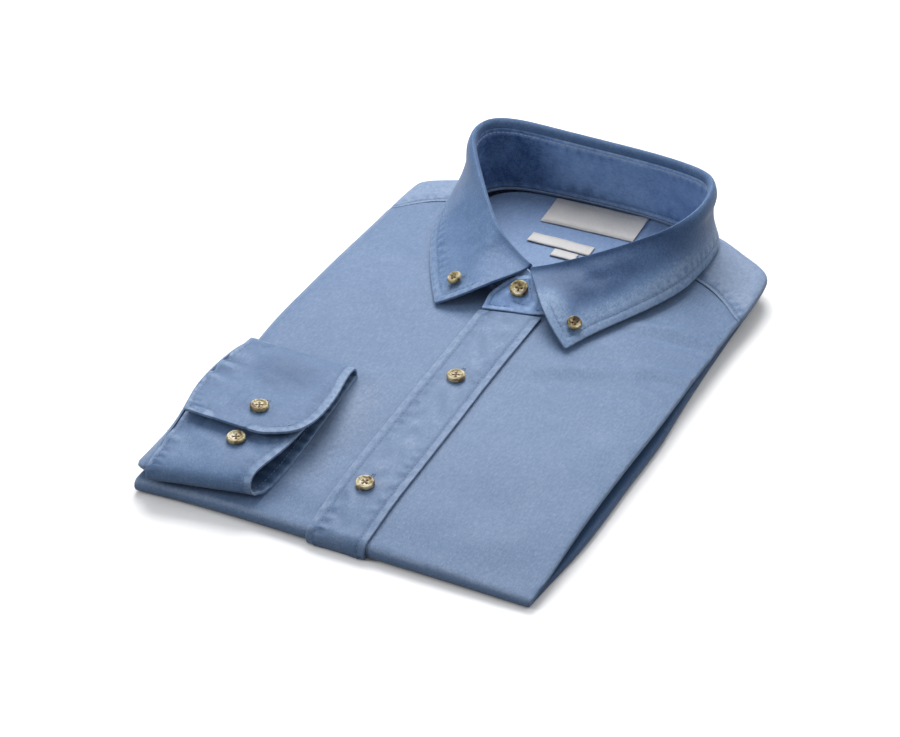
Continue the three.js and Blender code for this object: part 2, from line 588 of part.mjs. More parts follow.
// The leaf's section: from its seam inside the neck up over the crest and out to its edge.
function leafPath(at) {
  const outward = collarOutward(at);
  const roll = collarPoint(at, 'roll');
  const edge = collarPoint(at, 'edge');
  const inside = roll.clone().addScaledVector(outward, -2 * ROLL_RADIUS);
  inside.z -= 2.2;
  const crest = roll.clone().addScaledVector(outward, -ROLL_RADIUS);
  const outside = roll.clone();
  outside.z -= 2.4;
  const fall = new THREE.Vector3().subVectors(edge, outside);
  const run = Math.hypot(fall.x, fall.y);
  const bellyWay = new THREE.Vector3(fall.x, fall.y, 0).normalize().multiplyScalar(-fall.z);
  bellyWay.z = run;
  const belly = LEAF_BELLY * Math.min(1, 0.25 + run / 45);
  bellyWay.setLength(belly);
  const swept = COLLAR.map((row, number) => ({ number, sweep: row.sweep ?? 0 }));
  const sweepWay = new THREE.Vector3(fall.y, -fall.x, 0).normalize();
  sweepWay.multiplyScalar(readTable(swept, 'number', at, 'sweep'));
  const third = outside.clone().addScaledVector(fall, 0.35).add(bellyWay).addScaledVector(sweepWay, 0.8);
  const late = outside.clone().addScaledVector(fall, 0.7).addScaledVector(bellyWay, 0.8).add(sweepWay);
  return new THREE.CatmullRomCurve3([leafSeam(at), inside, crest, outside, third, late, edge]);
}

function leafGrid() {
  const stations = 44;
  const places = [0, 0.16, 0.26, 0.335, 0.41, 0.5, 0.6, 0.7, 0.8, 0.9, 1];
  return Array.from({ length: stations + 1 }, (_, i) => {
    const path = leafPath(mix(LEAF_FIRST, LEAF_LAST, i / stations));
    return places.map((t) => path.getPoint(t));
  });
}

// ---------------------------------------------------------------- cuff and sleeve

function cuffPoint(at, along) {
  const under = Math.min(1, Math.max(0, readRows(CUFF, at, 'under')));
  const x = mix(readRows(CUFF, at, 'openX'), readRows(CUFF, at, 'seamX'), along);
  const y = mix(readRows(CUFF, at, 'openY'), readRows(CUFF, at, 'seamY'), along);
  const free = mix(readRows(CUFF, at, 'openZ'), readRows(CUFF, at, 'seamZ'), along);
  const resting = topHeight(x, y) + CUFF_LIFT;
  const z = under > 0.98 ? resting : Math.max(resting, mix(Math.max(free, resting), resting, under));
  return new THREE.Vector3(x, y, z);
}

function cuffGrid() {
  const round = 42;
  const along = 5;
  return Array.from({ length: round + 1 }, (_, i) => {
    const at = (i / round) * (CUFF.length - 1);
    return Array.from({ length: along + 1 }, (__, k) => cuffPoint(at, k / along));
  });
}

// A long loop of cloth with round ends: along its upper side, round the back fold, along its
// lower side and round the front fold. place gives the point for y and a height from -1 to 1.
function flatLoop(near, far, bendWidth, place) {
  const straight = 6;
  const bend = 3;
  const loop = [];
  for (let k = 0; k < straight; k += 1) loop.push(place(mix(near, far, k / straight), 1));
  for (let k = 0; k < bend; k += 1) {
    const angle = (Math.PI * k) / bend;
    loop.push(place(far + bendWidth * Math.sin(angle), Math.cos(angle)));
  }
  for (let k = 0; k < straight; k += 1) loop.push(place(mix(far, near, k / straight), -1));
  for (let k = 0; k < bend; k += 1) {
    const angle = (Math.PI * k) / bend;
    loop.push(place(near - bendWidth * Math.sin(angle), -Math.cos(angle)));
  }
  return loop;
}

function sleeveGrid() {
  const stations = 8;
  const headAt = (out) => flatLoop(1, 122, 4, (y, height) => {
    const top = readTable(SLEEVE_HEAD, 'y', y, 'top');
    const bottom = readTable(SLEEVE_HEAD, 'y', y, 'bottom');
    const x = readTable(SLEEVE_HEAD, 'y', y, 'x') - out;
    return new THREE.Vector3(x, y, mix(bottom, top, (height + 1) / 2));
  });
  const grid = [headAt(0), headAt(SLEEVE_HEM)];
  for (let i = 0; i < stations; i += 1) {
    const at = (i / (stations - 1)) * (SLEEVE.length - 1);
    const read = (column) => readRows(SLEEVE, at, column);
    const half = read('half');
    const lean = THREE.MathUtils.degToRad(read('lean'));
    const out = new THREE.Vector3(-Math.sin(lean), 0, Math.cos(lean));
    grid.push(flatLoop(read('frontY') + half, read('backY') - half, half, (y, height) => {
      const across = THREE.MathUtils.smoothstep(y, SLEEVE_STEP.from, SLEEVE_STEP.to);
      const middle = new THREE.Vector3(read('x'), y, mix(read('frontZ'), read('backZ'), across));
      return middle.addScaledVector(out, half * height);
    }));
  }
  return grid;
}

// ---------------------------------------------------------------- hidden layers

// What the fronts enclose: the back, the sleeves and the sides folded behind, as one solid. It
// fills the fold and shows as two rounded layers in the gap between the body and its tail.
const LAYERS = [
  { y: 17, right: 116, left: -116, tongue: 0 },
  { y: 30, right: 112, left: -112, tongue: 0.2 },
  { y: 46, right: 108, left: -107, tongue: 0.6 },
  { y: 60, right: 105, left: -104, tongue: 1 },
  { y: 84, right: 104, left: -102, tongue: 1 },
  { y: 110, right: 103, left: -101, tongue: 1 },
  { y: 170, right: 102, left: -105, tongue: 1 },
  { y: 206, right: 99, left: -105, tongue: 1 },
  { y: 230, right: 97, left: -105, tongue: 1 },
  { y: 290, right: 93, left: -104, tongue: 1 },
  { y: 325, right: 90, left: -100, tongue: 1 },
];

function layerSection({ y, right, left, tongue }) {
  const clear = SEAM + 0.1;
  const low = CLOTH + clear;
  const side = (name, reach) => {
    const sign = name === 'right' ? 1 : -1;
    const fold = readTable(BODY, 'y', y, `${name}Fold`);
    const tailTop = 2 * readTable(TAIL, 'y', y, `${name}Fold`) + clear;
    const edgeX = readTable(BODY, 'y', y, `${name}X`);
    const bodyLow = readTable(BODY, 'y', y, `${name}Z`) - 2 * fold;
    const between = Math.max(bodyLow - clear - tailTop, 0.4);
    const tip = mix(reach, edgeX - sign * (name === 'right' ? 8 : 22), tongue);
    const roof = underFront(reach, y) - 0.6;
    const wide = THREE.MathUtils.smoothstep(fold, 3, 5) * tongue;
    const overTurnIn = Math.min(Math.max(bodyLow + CLOTH + 2 * clear, tailTop + between + 0.2), roof - 0.4);
    const pocket = mix(0.1, Math.max(fold - CLOTH - clear, 0.3), wide);
    const pocketX = mix(reach + sign * 0.5, edgeX - sign * (fold + clear), wide);
    const pocketTop = Math.min(overTurnIn + 1.5 * pocket, underFront(pocketX, y) - 0.6);
    return [
      [reach, low],
      [reach, tailTop],
      [tip - sign * 1.2, tailTop],
      [tip, tailTop + 0.25 * between],
      [tip - sign * 1.4, tailTop + 0.5 * between],
      [tip, tailTop + 0.75 * between],
      [tip - sign * 1.2, tailTop + between],
      [reach, tailTop + between],
      [reach, overTurnIn],
      [pocketX, mix(overTurnIn, pocketTop, 0.15)],
      [pocketX + sign * 0.8 * pocket, mix(overTurnIn, pocketTop, 0.5)],
      [pocketX, pocketTop],
    ];
  };
  const byTheBack = BACK_HALF_WIDTH - 1;
  const half = (reach) => [
    0.99 * reach,
    Math.min(byTheBack + 7, 0.97 * reach),
    byTheBack,
    byTheBack * 0.66,
    byTheBack * 0.33,
  ];
  const across = [...half(right), 0, ...half(-left).map((x) => -x).reverse()];
  const top = across.map((x) => [x, coreTop(x, y)]);
  const outline = [...side('right', right), ...top, ...side('left', left).reverse()];
  return outline.map(([x, z]) => new THREE.Vector3(x, y, z));
}

// The inner face of the front's cloth.
function underFront(x, y) {
  return topHeight(x, y) - CLOTH - SEAM - 0.2;
}

// The layers fill the fold up to the front, and up to the back where the neck shows it.
function coreTop(x, y) {
  const backShows = y > 200 && Math.abs(x) < BACK_HALF_WIDTH;
  return backShows ? Math.min(underFront(x, y), backHeight(x, y) - CLOTH - SEAM) : underFront(x, y) - 0.6;
}

// ---------------------------------------------------------------- buttons and labels

const THREAD_HOLES = 4;

// A turned button: flat beneath, a raised rim round a dished middle, and four holes.
function buttonGeometry({ diameter, height }) {
  const radius = diameter / 2;
  const dish = 0.8;
  const profile = [
    [0, 0],
    [radius - 1.2, 0],
    [radius, 1.1],
    [radius - 0.2, height - 0.7],
    [radius - 0.9, height],
    [radius - 1.7, height - 0.2],
    [radius - 2.5, height - dish],
    [0, height - dish],
  ].map(([r, z]) => new THREE.Vector2(r, z));
  const blank = new THREE.LatheGeometry(profile, 18);
  blank.rotateX(Math.PI / 2);
  let button = solidOf(blank);
  for (let k = 0; k < THREAD_HOLES; k += 1) {
    const angle = Math.PI / 4 + (k * Math.PI) / 2;
    const drill = new THREE.CylinderGeometry(0.75, 0.75, height * 3, 6);
    drill.rotateX(Math.PI / 2);
    drill.translate(1.7 * Math.cos(angle), 1.7 * Math.sin(angle), 0);
    button = button.subtract(solidOf(drill));
  }
  return geometryOf(button);
}

function solidOf(source) {
  const bare = new THREE.BufferGeometry();
  bare.setAttribute('position', source.getAttribute('position').clone());
  bare.setIndex(source.getIndex());
  const merged = mergeVertices(bare, 1e-4);
  const index = merged.getIndex().array;
  const faces = [];
  for (let i = 0; i < index.length; i += 3) {
    const [a, b, c] = [index[i], index[i + 1], index[i + 2]];
    if (a !== b && b !== c && a !== c) faces.push(a, b, c);
  }
  const vertProperties = Float32Array.from(merged.getAttribute('position').array);
  const mesh = new wasm.Mesh({ numProp: 3, vertProperties, triVerts: Uint32Array.from(faces) });
  const solid = new wasm.Manifold(mesh);
  if (solid.volume() > 0) return solid;
  for (let i = 0; i < faces.length; i += 3) [faces[i], faces[i + 1]] = [faces[i + 1], faces[i]];
  const turned = new wasm.Mesh({ numProp: 3, vertProperties, triVerts: Uint32Array.from(faces) });
  return new wasm.Manifold(turned);
}

function geometryOf(solid) {
  const mesh = solid.getMesh();
  const geometry = new THREE.BufferGeometry();
  geometry.setAttribute('position', new THREE.Float32BufferAttribute(mesh.vertProperties, 3));
  geometry.setIndex(Array.from(mesh.triVerts));
  return geometry;
}

// The seat of a piece on a surface: its point, and the normal that points up.
function seatOn(surface, u, v, step) {
  const point = surface(u, v);
  const alongU = surface(u + step, v).sub(surface(u - step, v));
  const alongV = surface(u, v + step).sub(surface(u, v - step));
  const normal = alongU.cross(alongV).normalize();
  if (normal.z < 0) normal.negate();
  return { point, normal };
}

function placeButton(mesh, seat) {
  mesh.position.copy(seat.point).addScaledVector(seat.normal, SEAM);
  mesh.quaternion.setFromUnitVectors(new THREE.Vector3(0, 0, 1), seat.normal);
}

// A label: a thin plate on the back's inside, given by its corner, size and slant.
function labelGrid({ x, y, width, height, slant }) {
  const steps = 3;
  const lift = SEAM + LABEL_CLOTH;
  const way = new THREE.Vector2(Math.cos(slant), Math.sin(slant));
  return Array.from({ length: 2 }, (_, i) => Array.from({ length: steps + 1 }, (__, k) => {
    const across = width * (k / steps);
    const down = -height * i;
    const px = x + across * way.x - down * way.y;
    const py = y + across * way.y + down * way.x;
    return new THREE.Vector3(px, py, backHeight(px, py) + lift);
  }));
}

const NECK_LABEL = { x: -38, y: 366.8, width: 62, height: 27.6, slant: 0.07 };
const CARE_LABEL = { x: -34, y: 325.6, width: 42, height: 10, slant: 0.03 };
const SIZE_LABEL = { x: -13.6, y: 314.6, width: 16, height: 8, slant: 0.03 };

// ---------------------------------------------------------------- materials and assembly

const DENIM = { color: 0x8199c4, roughness: 0.92, metalness: 0 };
const COLLAR_DENIM = { color: 0x6785b8, roughness: 0.92, metalness: 0 };
const INSIDE_DENIM = { color: 0x7d97c3, roughness: 0.94, metalness: 0 };
const HORN = { color: 0xa8935a, roughness: 0.32, metalness: 0 };
const LABEL = { color: 0xd6d4d2, roughness: 0.7, metalness: 0 };

const garment = new THREE.Group();

function addPiece(name, geometry, finish) {
  geometry.computeVertexNormals();
  const mesh = new THREE.Mesh(geometry, new THREE.MeshStandardMaterial(finish));
  mesh.name = name;
  garment.add(mesh);
  return mesh;
}

addPiece('folded_layers', loftGeometry(LAYERS.map(layerSection)), DENIM);
addPiece('front_right', wallGeometry(frontGrid('left'), CLOTH, 1), DENIM);
addPiece('front_left', wallGeometry(frontGrid('right'), CLOTH, -1), DENIM);
addPiece('placket', wallGeometry(placketGrid(), PLACKET_CLOTH, -1), DENIM);
addPiece('back', wallGeometry(backGrid(), CLOTH, 1), INSIDE_DENIM);
addPiece('yoke', wallGeometry(yokeGrid(), CLOTH, -1), DENIM);
addPiece('collar_stand', wallGeometry(standGrid(), COLLAR_CLOTH, -1), COLLAR_DENIM);
addPiece('collar_leaf', wallGeometry(leafGrid(), COLLAR_CLOTH, 1), COLLAR_DENIM);
addPiece('cuff', wallGeometry(cuffGrid(), COLLAR_CLOTH, -1), DENIM);
addPiece('sleeve', wallGeometry(sleeveGrid(), CLOTH, 1, true), DENIM);
addPiece('neck_label', wallGeometry(labelGrid(NECK_LABEL), LABEL_CLOTH, -1), LABEL);
addPiece('care_label', wallGeometry(labelGrid(CARE_LABEL), LABEL_CLOTH, -1), LABEL);
addPiece('size_label', wallGeometry(labelGrid(SIZE_LABEL), LABEL_CLOTH, -1), LABEL);

const placketTop = (x, y) => new THREE.Vector3(x, y, topHeight(x, y) + SEAM + PLACKET_CLOTH);
const leafFace = (at, t) => leafPath(at).getPoint(t);
const standFace = (at, t) => standFoot(at).lerp(standTop(at), t);

const BUTTONS = [
  { name: 'button_front_lower', kind: BUTTON, seat: seatOn(placketTop, -0.2, 42.2, 1) },
  { name: 'button_front_upper', kind: BUTTON, seat: seatOn(placketTop, 0.8, 153.5, 1) },
  { name: 'button_collar', kind: BUTTON, seat: seatOn(standFace, 1.85, 0.59, 0.05) },
  { name: 'button_cuff_overlap', kind: BUTTON, seat: seatOn(cuffPoint, 1.66, 0.434, 0.05) },
  { name: 'button_cuff_under', kind: BUTTON, seat: seatOn(cuffPoint, 12.8, 0.417, 0.05) },
  { name: 'button_point_left', kind: SMALL_BUTTON, seat: seatOn(leafFace, 2.656, 0.891, 0.02) },
  { name: 'button_point_right', kind: SMALL_BUTTON, seat: seatOn(leafFace, 20.38, 0.838, 0.02) },
];
for (const { name, kind, seat } of BUTTONS) {
  placeButton(addPiece(name, buttonGeometry(kind), HORN), seat);
}

// Moved so that the origin is the middle of the footprint, on the surface it rests on.
garment.updateMatrixWorld(true);
const footprint = new THREE.Box3().setFromObject(garment, true);
const middle = footprint.getCenter(new THREE.Vector3());
garment.position.set(-middle.x, -middle.y, -footprint.min.z);

const shirt = new THREE.Group();
shirt.add(garment);
export default shirt;
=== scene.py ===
# %% [markdown]
# # A folded denim shirt
# A shirt is sewn from flat pieces: two fronts, a placket, a yoke, a two-part collar, sleeves and
# cuffs. Folded for a shelf, those pieces lie on each other, and the cloth shows its thickness only
# at seams and folds. Each piece of cloth here starts from a merged copy of its rigid solid, is
# smoothed with a subdivision surface, and is then pressed into creases with small moves of its
# vertices. That keeps the pieces where they are, which a cloth simulation wouldn't.

import json
import math

import bmesh
import bpy
import numpy as np
from mathutils import Matrix, Vector
from mathutils.bvhtree import BVHTree
from mathutils.kdtree import KDTree

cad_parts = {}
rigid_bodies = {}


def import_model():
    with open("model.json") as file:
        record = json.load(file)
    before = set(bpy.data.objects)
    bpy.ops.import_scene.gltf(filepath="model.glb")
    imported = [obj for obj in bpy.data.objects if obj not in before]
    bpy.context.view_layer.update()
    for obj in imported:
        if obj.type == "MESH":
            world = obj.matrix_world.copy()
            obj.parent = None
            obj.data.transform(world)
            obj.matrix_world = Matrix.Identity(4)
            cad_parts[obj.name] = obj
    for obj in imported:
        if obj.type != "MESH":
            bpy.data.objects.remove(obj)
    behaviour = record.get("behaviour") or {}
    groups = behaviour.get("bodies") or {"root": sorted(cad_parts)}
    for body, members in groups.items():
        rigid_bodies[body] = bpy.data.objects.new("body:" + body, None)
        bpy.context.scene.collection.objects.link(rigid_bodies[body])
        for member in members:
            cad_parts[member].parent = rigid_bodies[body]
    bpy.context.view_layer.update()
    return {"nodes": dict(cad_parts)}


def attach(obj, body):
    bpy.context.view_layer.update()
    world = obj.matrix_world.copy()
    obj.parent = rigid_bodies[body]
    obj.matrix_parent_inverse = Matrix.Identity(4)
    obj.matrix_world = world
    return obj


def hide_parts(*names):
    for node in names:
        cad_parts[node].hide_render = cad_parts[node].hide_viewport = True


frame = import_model()

# %% [markdown]
# ## The garment's own zero
# Places on a shirt are easiest to give from the middle of its bottom fold, in millimetres: X to
# the wearer's left, Y up towards the collar. The frame's zero is the middle of the footprint, so
# one vector carries a place from the garment to the frame.

# %% Places in millimetres
MM = 0.001
GARMENT_ZERO = Vector((2.206, -188.053, 0.0)) * MM


def place(x, y, z=0.0):
    return GARMENT_ZERO + Vector((x, y, z)) * MM


def garment_places(points):
    """The x, y and z of many points, in millimetres from the garment's zero."""
    return ((points - np.array(GARMENT_ZERO)) / MM).T


# %% [markdown]
# ## The camera
# The shirt is seen from the front, a little from its left, at the height of someone standing at a
# counter. A long lens keeps its sides almost parallel.

# %% Camera
camera_data = bpy.data.cameras.new("camera")
camera_data.lens = 180.0
camera_data.sensor_width = 36.0
camera_data.clip_start = 0.1
camera_data.clip_end = 50.0
camera = bpy.data.objects.new("camera", camera_data)
bpy.context.scene.collection.objects.link(camera)
LOOKED_AT = place(-11.0, 168.5, 20.0)
CAMERA_AWAY = 2.68
turn, rise = math.radians(27.5), math.radians(34.5)
towards_camera = Vector((math.sin(turn) * math.cos(rise), -math.cos(turn) * math.cos(rise), math.sin(rise)))
camera.location = LOOKED_AT + towards_camera * CAMERA_AWAY
camera.rotation_mode = "QUATERNION"
camera.rotation_quaternion = (-towards_camera).to_track_quat("-Z", "Y")
bpy.context.scene.camera = camera
print("camera at", [round(v, 3) for v in camera.location])

# %% [markdown]
# ## Copying a piece of cloth
# A solid's mesh is loose triangles. Its copy has its doubles merged, its triangles joined to
# quads and its sharp rims marked with a crease, so that Catmull-Clark subdivision rounds the
# folds and keeps the cut edges. Modelling each panel again from a plane was the other way, but
# then it could drift away from the solid that it stands for.

# %% Cloth from a solid
RIM_ANGLE = math.radians(52)


def merged_copy(node):
    """A copy of a solid with its doubles merged and its triangles joined to quads."""
    copy = bmesh.new()
    copy.from_mesh(frame["nodes"][node].data)
    bmesh.ops.remove_doubles(copy, verts=copy.verts, dist=0.00002)
    bmesh.ops.join_triangles(
        copy,
        faces=copy.faces,
        angle_face_threshold=math.radians(60),
        angle_shape_threshold=math.radians(170),
    )
    bmesh.ops.recalc_face_normals(copy, faces=copy.faces)
    return copy


def rim_edges(copy):
    return [e for e in copy.edges if len(e.link_faces) == 2 and e.calc_face_angle() > RIM_ANGLE]


def smoothed(name, copy, levels=3, crease=0.9):
    """A subdivided piece from a merged copy, which is used up."""
    layer = copy.edges.layers.float.new("crease_edge")
    for edge in rim_edges(copy):
        edge[layer] = crease
    mesh = bpy.data.meshes.new(name)
    copy.to_mesh(mesh)
    copy.free()
    piece = bpy.data.objects.new(name, mesh)
    bpy.context.scene.collection.objects.link(piece)
    soften = piece.modifiers.new("soften", "SUBSURF")
    soften.levels = soften.render_levels = levels
    fine = bpy.data.meshes.new_from_object(piece.evaluated_get(bpy.context.evaluated_depsgraph_get()))
    piece.modifiers.clear()
    piece.data = fine
    bpy.data.meshes.remove(mesh)
    fine.name = name
    fine.shade_smooth()
    return piece


def cut_across(copy, places, way):
    """Cuts the faces of a copy at each place, so that it bends there."""
    for at in places:
        parts = copy.verts[:] + copy.edges[:] + copy.faces[:]
        bmesh.ops.bisect_plane(copy, geom=parts, dist=0.00001, plane_co=at, plane_no=way)


# %% [markdown]
# ## Finding the edge of a piece
# Seams and topstitching run along the edge of a piece, so the edge is read from the copy: its
# sharp edges, in order, with the way into the cloth and the cloth's own direction up.

# %% Edge loops
def edge_loops(copy, thickness):
    """Loops along the rims of a piece of cloth, in the same order on every run."""
    sharp = rim_edges(copy)
    meets = {}
    for edge in sharp:
        for vert in edge.verts:
            meets[vert] = meets.get(vert, 0) + 1
    limit = 1.6 * thickness * MM
    across = {e for e in sharp if e.calc_length() < limit and all(meets[v] > 2 for v in e.verts)}
    left = dict.fromkeys(e for e in sharp if e not in across)
    loops = []
    while left:
        start = next(iter(left))
        del left[start]
        chain = [start.verts[0], start.verts[1]]
        edges = [start]
        for end in (True, False):
            while True:
                tip = chain[-1] if end else chain[0]
                onward = [e for e in tip.link_edges if e in left]
                if not onward:
                    break
                edge = onward[0]
                del left[edge]
                if end:
                    chain.append(edge.other_vert(tip))
                    edges.append(edge)
                else:
                    chain.insert(0, edge.other_vert(tip))
                    edges.insert(0, edge)
        if len(edges) > 3:
            loops.append(loop_frame(chain, edges))
    return loops


def loop_frame(chain, edges):
    """A loop's points, with the way into the cloth and the cloth's normal at each."""
    inward = [Vector() for _ in chain]
    up = [Vector() for _ in chain]
    for i, edge in enumerate(edges):
        cloth = max(edge.link_faces, key=lambda f: f.calc_area())
        middle = (edge.verts[0].co + edge.verts[1].co) / 2
        along = (edge.verts[1].co - edge.verts[0].co).normalized()
        way = cloth.calc_center_median() - middle
        way = (way - along * way.dot(along)).normalized()
        for k in (i, i + 1):
            inward[k] += way
            up[k] += cloth.normal
    points = np.array([v.co for v in chain])
    return {
        "points": points,
        "inward": np.array([v.normalized() for v in inward]),
        "up": np.array([v.normalized() for v in up]),
    }


def even(loop):
    """The same loop with a point every millimetre."""
    points = loop["points"]
    lengths = np.linalg.norm(np.diff(points, axis=0), axis=1)
    run = np.concatenate([[0.0], np.cumsum(lengths)])
    at = np.arange(0.0, run[-1], MM)
    out = {"run": at / MM}
    for key in ("points", "inward", "up"):
        out[key] = np.stack([np.interp(at, run, loop[key][:, k]) for k in range(3)], axis=1)
    return out


def every_millimetre(copy, thickness):
    return [even(loop) for loop in edge_loops(copy, thickness)]


def rim_where(loops, keep):
    """The points of all loops for which keep(place in mm, up, inward) holds, in their order."""
    kept = {"points": [], "inward": [], "up": [], "run": []}
    between_loops = 50.0
    start = 0.0
    for loop in loops:
        mask = keep(garment_places(loop["points"]), loop["up"].T, loop["inward"].T)
        for key, values in kept.items():
            values.append(loop[key][mask] + (start if key == "run" else 0.0))
        start += loop["run"][-1] + between_loops
    return {key: np.concatenate(values) for key, values in kept.items()}


# %% [markdown]
# ## Pressing the cloth
# A crease is a soft trough or ridge along a line, deepest in its middle and fading at its ends.
# Both faces of the cloth move together, so the cloth keeps its thickness. Along topstitching the
# cloth is drawn in a little and puckers, which makes the rows of small dimples of washed denim.

# %% Soft steps and bells
def smooth(value, low, high):
    """Rises softly from 0 at low to 1 at high."""
    t = np.clip((value - low) / (high - low), 0, 1)
    return t * t * (3 - 2 * t)


def bell(value, middle, width):
    """1 at the middle, fading on both sides."""
    return np.exp(-(((value - middle) / width) ** 2))


def crease(x, y, start, end, width, depth, bow=0.0):
    """Height in millimetres of a crease from start to end: below zero is a trough."""
    sx, sy = start
    ex, ey = end
    length = math.hypot(ex - sx, ey - sy)
    ux, uy = (ex - sx) / length, (ey - sy) / length
    t = ((x - sx) * ux + (y - sy) * uy) / length
    off = (y - sy) * ux - (x - sx) * uy - 4 * bow * t * (1 - t)
    fade = np.clip(4 * t * (1 - t), 0, 1) ** 0.7
    return depth * fade * bell(off, 0, width)


def creases_of(x, y, table):
    """The height of all creases of a table, in millimetres."""
    return sum(crease(x, y, *numbers) for numbers in table)


# %% Points and notes
def read_points(piece):
    """The places and normals of a piece's points."""
    points = np.empty(len(piece.data.vertices) * 3)
    piece.data.vertices.foreach_get("co", points)
    normals = np.empty(len(points))
    piece.data.vertex_normals.foreach_get("vector", normals)
    return points.reshape(-1, 3), normals.reshape(-1, 3)


def write_points(piece, points):
    piece.data.vertices.foreach_set("co", points.reshape(-1))
    piece.data.update()


def note(piece, name, values):
    """Keeps a number for each point of a piece, for its material to read."""
    layer = piece.data.attributes.get(name) or piece.data.attributes.new(name, "FLOAT", "POINT")
    layer.data.foreach_set("value", np.asarray(values, dtype=np.float32))


def add_note(piece, name, values):
    """Like note, but it keeps what was there where that is more."""
    kept = piece.data.attributes.get(name)
    if kept:
        before = np.empty(len(values), dtype=np.float32)
        kept.data.foreach_get("value", before)
        values = np.maximum(values, before)
    note(piece, name, values)


def nearest_on(loop, points, reach):
    """For each point, its distance to a loop in millimetres, and the number of the place there."""
    tree = KDTree(len(loop["points"]))
    for i, point in enumerate(loop["points"]):
        tree.insert(point, i)
    tree.balance()
    low = loop["points"].min(axis=0) - reach * MM
    high = loop["points"].max(axis=0) + reach * MM
    near = np.all((points > low) & (points < high), axis=1)
    distance = np.full(len(points), 1e3)
    number = np.zeros(len(points), dtype=int)
    for k in np.nonzero(near)[0]:
        _, i, d = tree.find(points[k])
        distance[k] = d / MM
        number[k] = i
    return distance, number


# %% Seams pressed in
def press_seam(piece, loop, inset, depth, pucker, pitch, paling, dark, reach=9.0):
    """Presses a stitched seam into a piece, inset millimetres from the loop, with paler worn edges and
    painted shade in its groove and pucker hollows.
    """
    points, _ = read_points(piece)
    distance, number = nearest_on(loop, points, inset + reach)
    run = loop["run"][number]
    up = loop["up"][number]
    groove = -depth * bell(distance, inset, 0.9)
    wave, late = (
        np.sin(2 * math.pi * (at / pitch + 0.35 * np.sin(at / 23.0) + 0.2 * np.sin(at / 7.3)))
        for at in (run, run + 0.4 * pitch)
    )
    strength = 0.6 + 0.4 * np.sin(run / 17.0 + 1.0)
    outer = pucker * 0.6 * wave * strength * bell(distance, inset * 0.45, 0.35 * inset + 0.3)
    inner = pucker * late * strength * bell(distance - inset, 2.8, 3.2)
    shift = np.where(distance < inset + reach, groove + outer + inner, 0.0)
    write_points(piece, points + up * shift[:, None] * MM)
    wear_and_painted_light = paling * bell(distance, 0, 1.1)
    wear_and_painted_light += paling * (0.45 + 0.35 * wave) * bell(distance, inset * 0.5, 0.3 * inset + 0.6)
    # Painted shade in the stitch groove and in the hollows of the puckers.
    shade = dark * 0.8 * bell(distance, inset, 0.75)
    shade += dark * strength * (0.5 - 0.5 * late) * bell(distance - inset, 2.8, 3.0)
    add_note(piece, "wear_and_painted_light", wear_and_painted_light)
    add_note(piece, "shade", shade)


def tuck(piece, loop, depth, width, dark):
    """Presses a piece down where another piece's edge lies on it, and paints a contact shadow there."""
    points, normals = read_points(piece)
    distance, _ = nearest_on(loop, points, 4 * width + 2)
    near = bell(np.maximum(distance - 0.6, 0), 0, width) * (distance < 4 * width)
    points[:, 2] -= depth * near * np.maximum(normals[:, 2], 0) * MM
    write_points(piece, points)
    add_note(piece, "shade", dark * near)


# %% [markdown]
# ## Topstitching
# A sewn line is a row of short threads that dip into the cloth at both ends. Each one is a small
# sphere drawn long, laid on the finished cloth where a ray from above meets it. A line drawn in
# the material would be cheaper, but it has no height and isn't part of the mesh.

# %% Stitches
def surface_of(piece):
    """The piece's surface, for rays."""
    points, _ = read_points(piece)
    faces = [tuple(p.vertices) for p in piece.data.polygons]
    return BVHTree.FromPolygons([Vector(p) for p in points], faces)


def line_inside(loop, surface, inset):
    """The line on the cloth that runs inset millimetres inside a loop."""
    points = loop["points"] + loop["inward"] * inset * MM
    distance, _ = nearest_on(loop, points, inset + 3)
    line = []
    for point, up, d in zip(points, loop["up"], distance):
        if d < 0.93 * inset:
            continue
        above = Vector(point) + Vector(up) * 2.4 * MM
        hit, normal, _, _ = surface.ray_cast(above, -Vector(up), 5 * MM)
        if hit is not None:
            line.append((hit, normal if normal.dot(Vector(up)) > 0 else -normal))
    return line


def add_thread(threads, start, end, up, width, height):
    """Adds one thread from start to end: a small sphere, drawn long."""
    along = end - start
    length = along.length
    if length < 1e-5:
        return
    x_way = along / length
    y_way = up.cross(x_way).normalized()
    z_way = x_way.cross(y_way)
    turned = Matrix((x_way, y_way, z_way)).transposed().to_4x4()
    sized = Matrix.Diagonal((length, width * MM, height * MM, 1.0))
    laid = Matrix.Translation((start + end) / 2 + up * 0.06 * MM) @ turned @ sized
    laid = laid @ Matrix.Rotation(math.pi / 2, 4, "Y")
    bmesh.ops.create_uvsphere(threads, u_segments=6, v_segments=4, radius=0.5, matrix=laid)


def sew(threads, line, length=2.1, gap=0.75, width=0.5, height=0.42):
    """Lays stitches along a line of (point, up)."""
    if len(line) < 4:
        return 0
    points = np.array([p for p, _ in line])
    ups = np.array([u for _, u in line])
    steps = np.linalg.norm(np.diff(points, axis=0), axis=1) / MM
    made = 0
    breaks = [0, *(np.nonzero(steps > 4.0)[0] + 1), len(points)]
    for first, last in zip(breaks[:-1], breaks[1:]):
        if last - first < 4:
            continue
        run = np.concatenate([[0.0], np.cumsum(steps[first : last - 1])])
        span = points[first:last]
        for at in np.arange(0.4, run[-1] - length, length + gap):
            ends = [
                Vector([np.interp(s, run, span[:, k]) for k in range(3)]) for s in (at, at + length)
            ]
            middle = np.argmin(abs(run - at - length / 2)) + first
            add_thread(threads, ends[0], ends[1], Vector(ups[middle]).normalized(), width, height)
            made += 1
    return made


def piece_of(name, made):
    """Makes a finished bmesh a piece of its own."""
    mesh = bpy.data.meshes.new(name)
    bmesh.ops.recalc_face_normals(made, faces=made.faces)
    made.to_mesh(mesh)
    made.free()
    piece = bpy.data.objects.new(name, mesh)
    bpy.context.scene.collection.objects.link(piece)
    mesh.shade_smooth()
    return piece
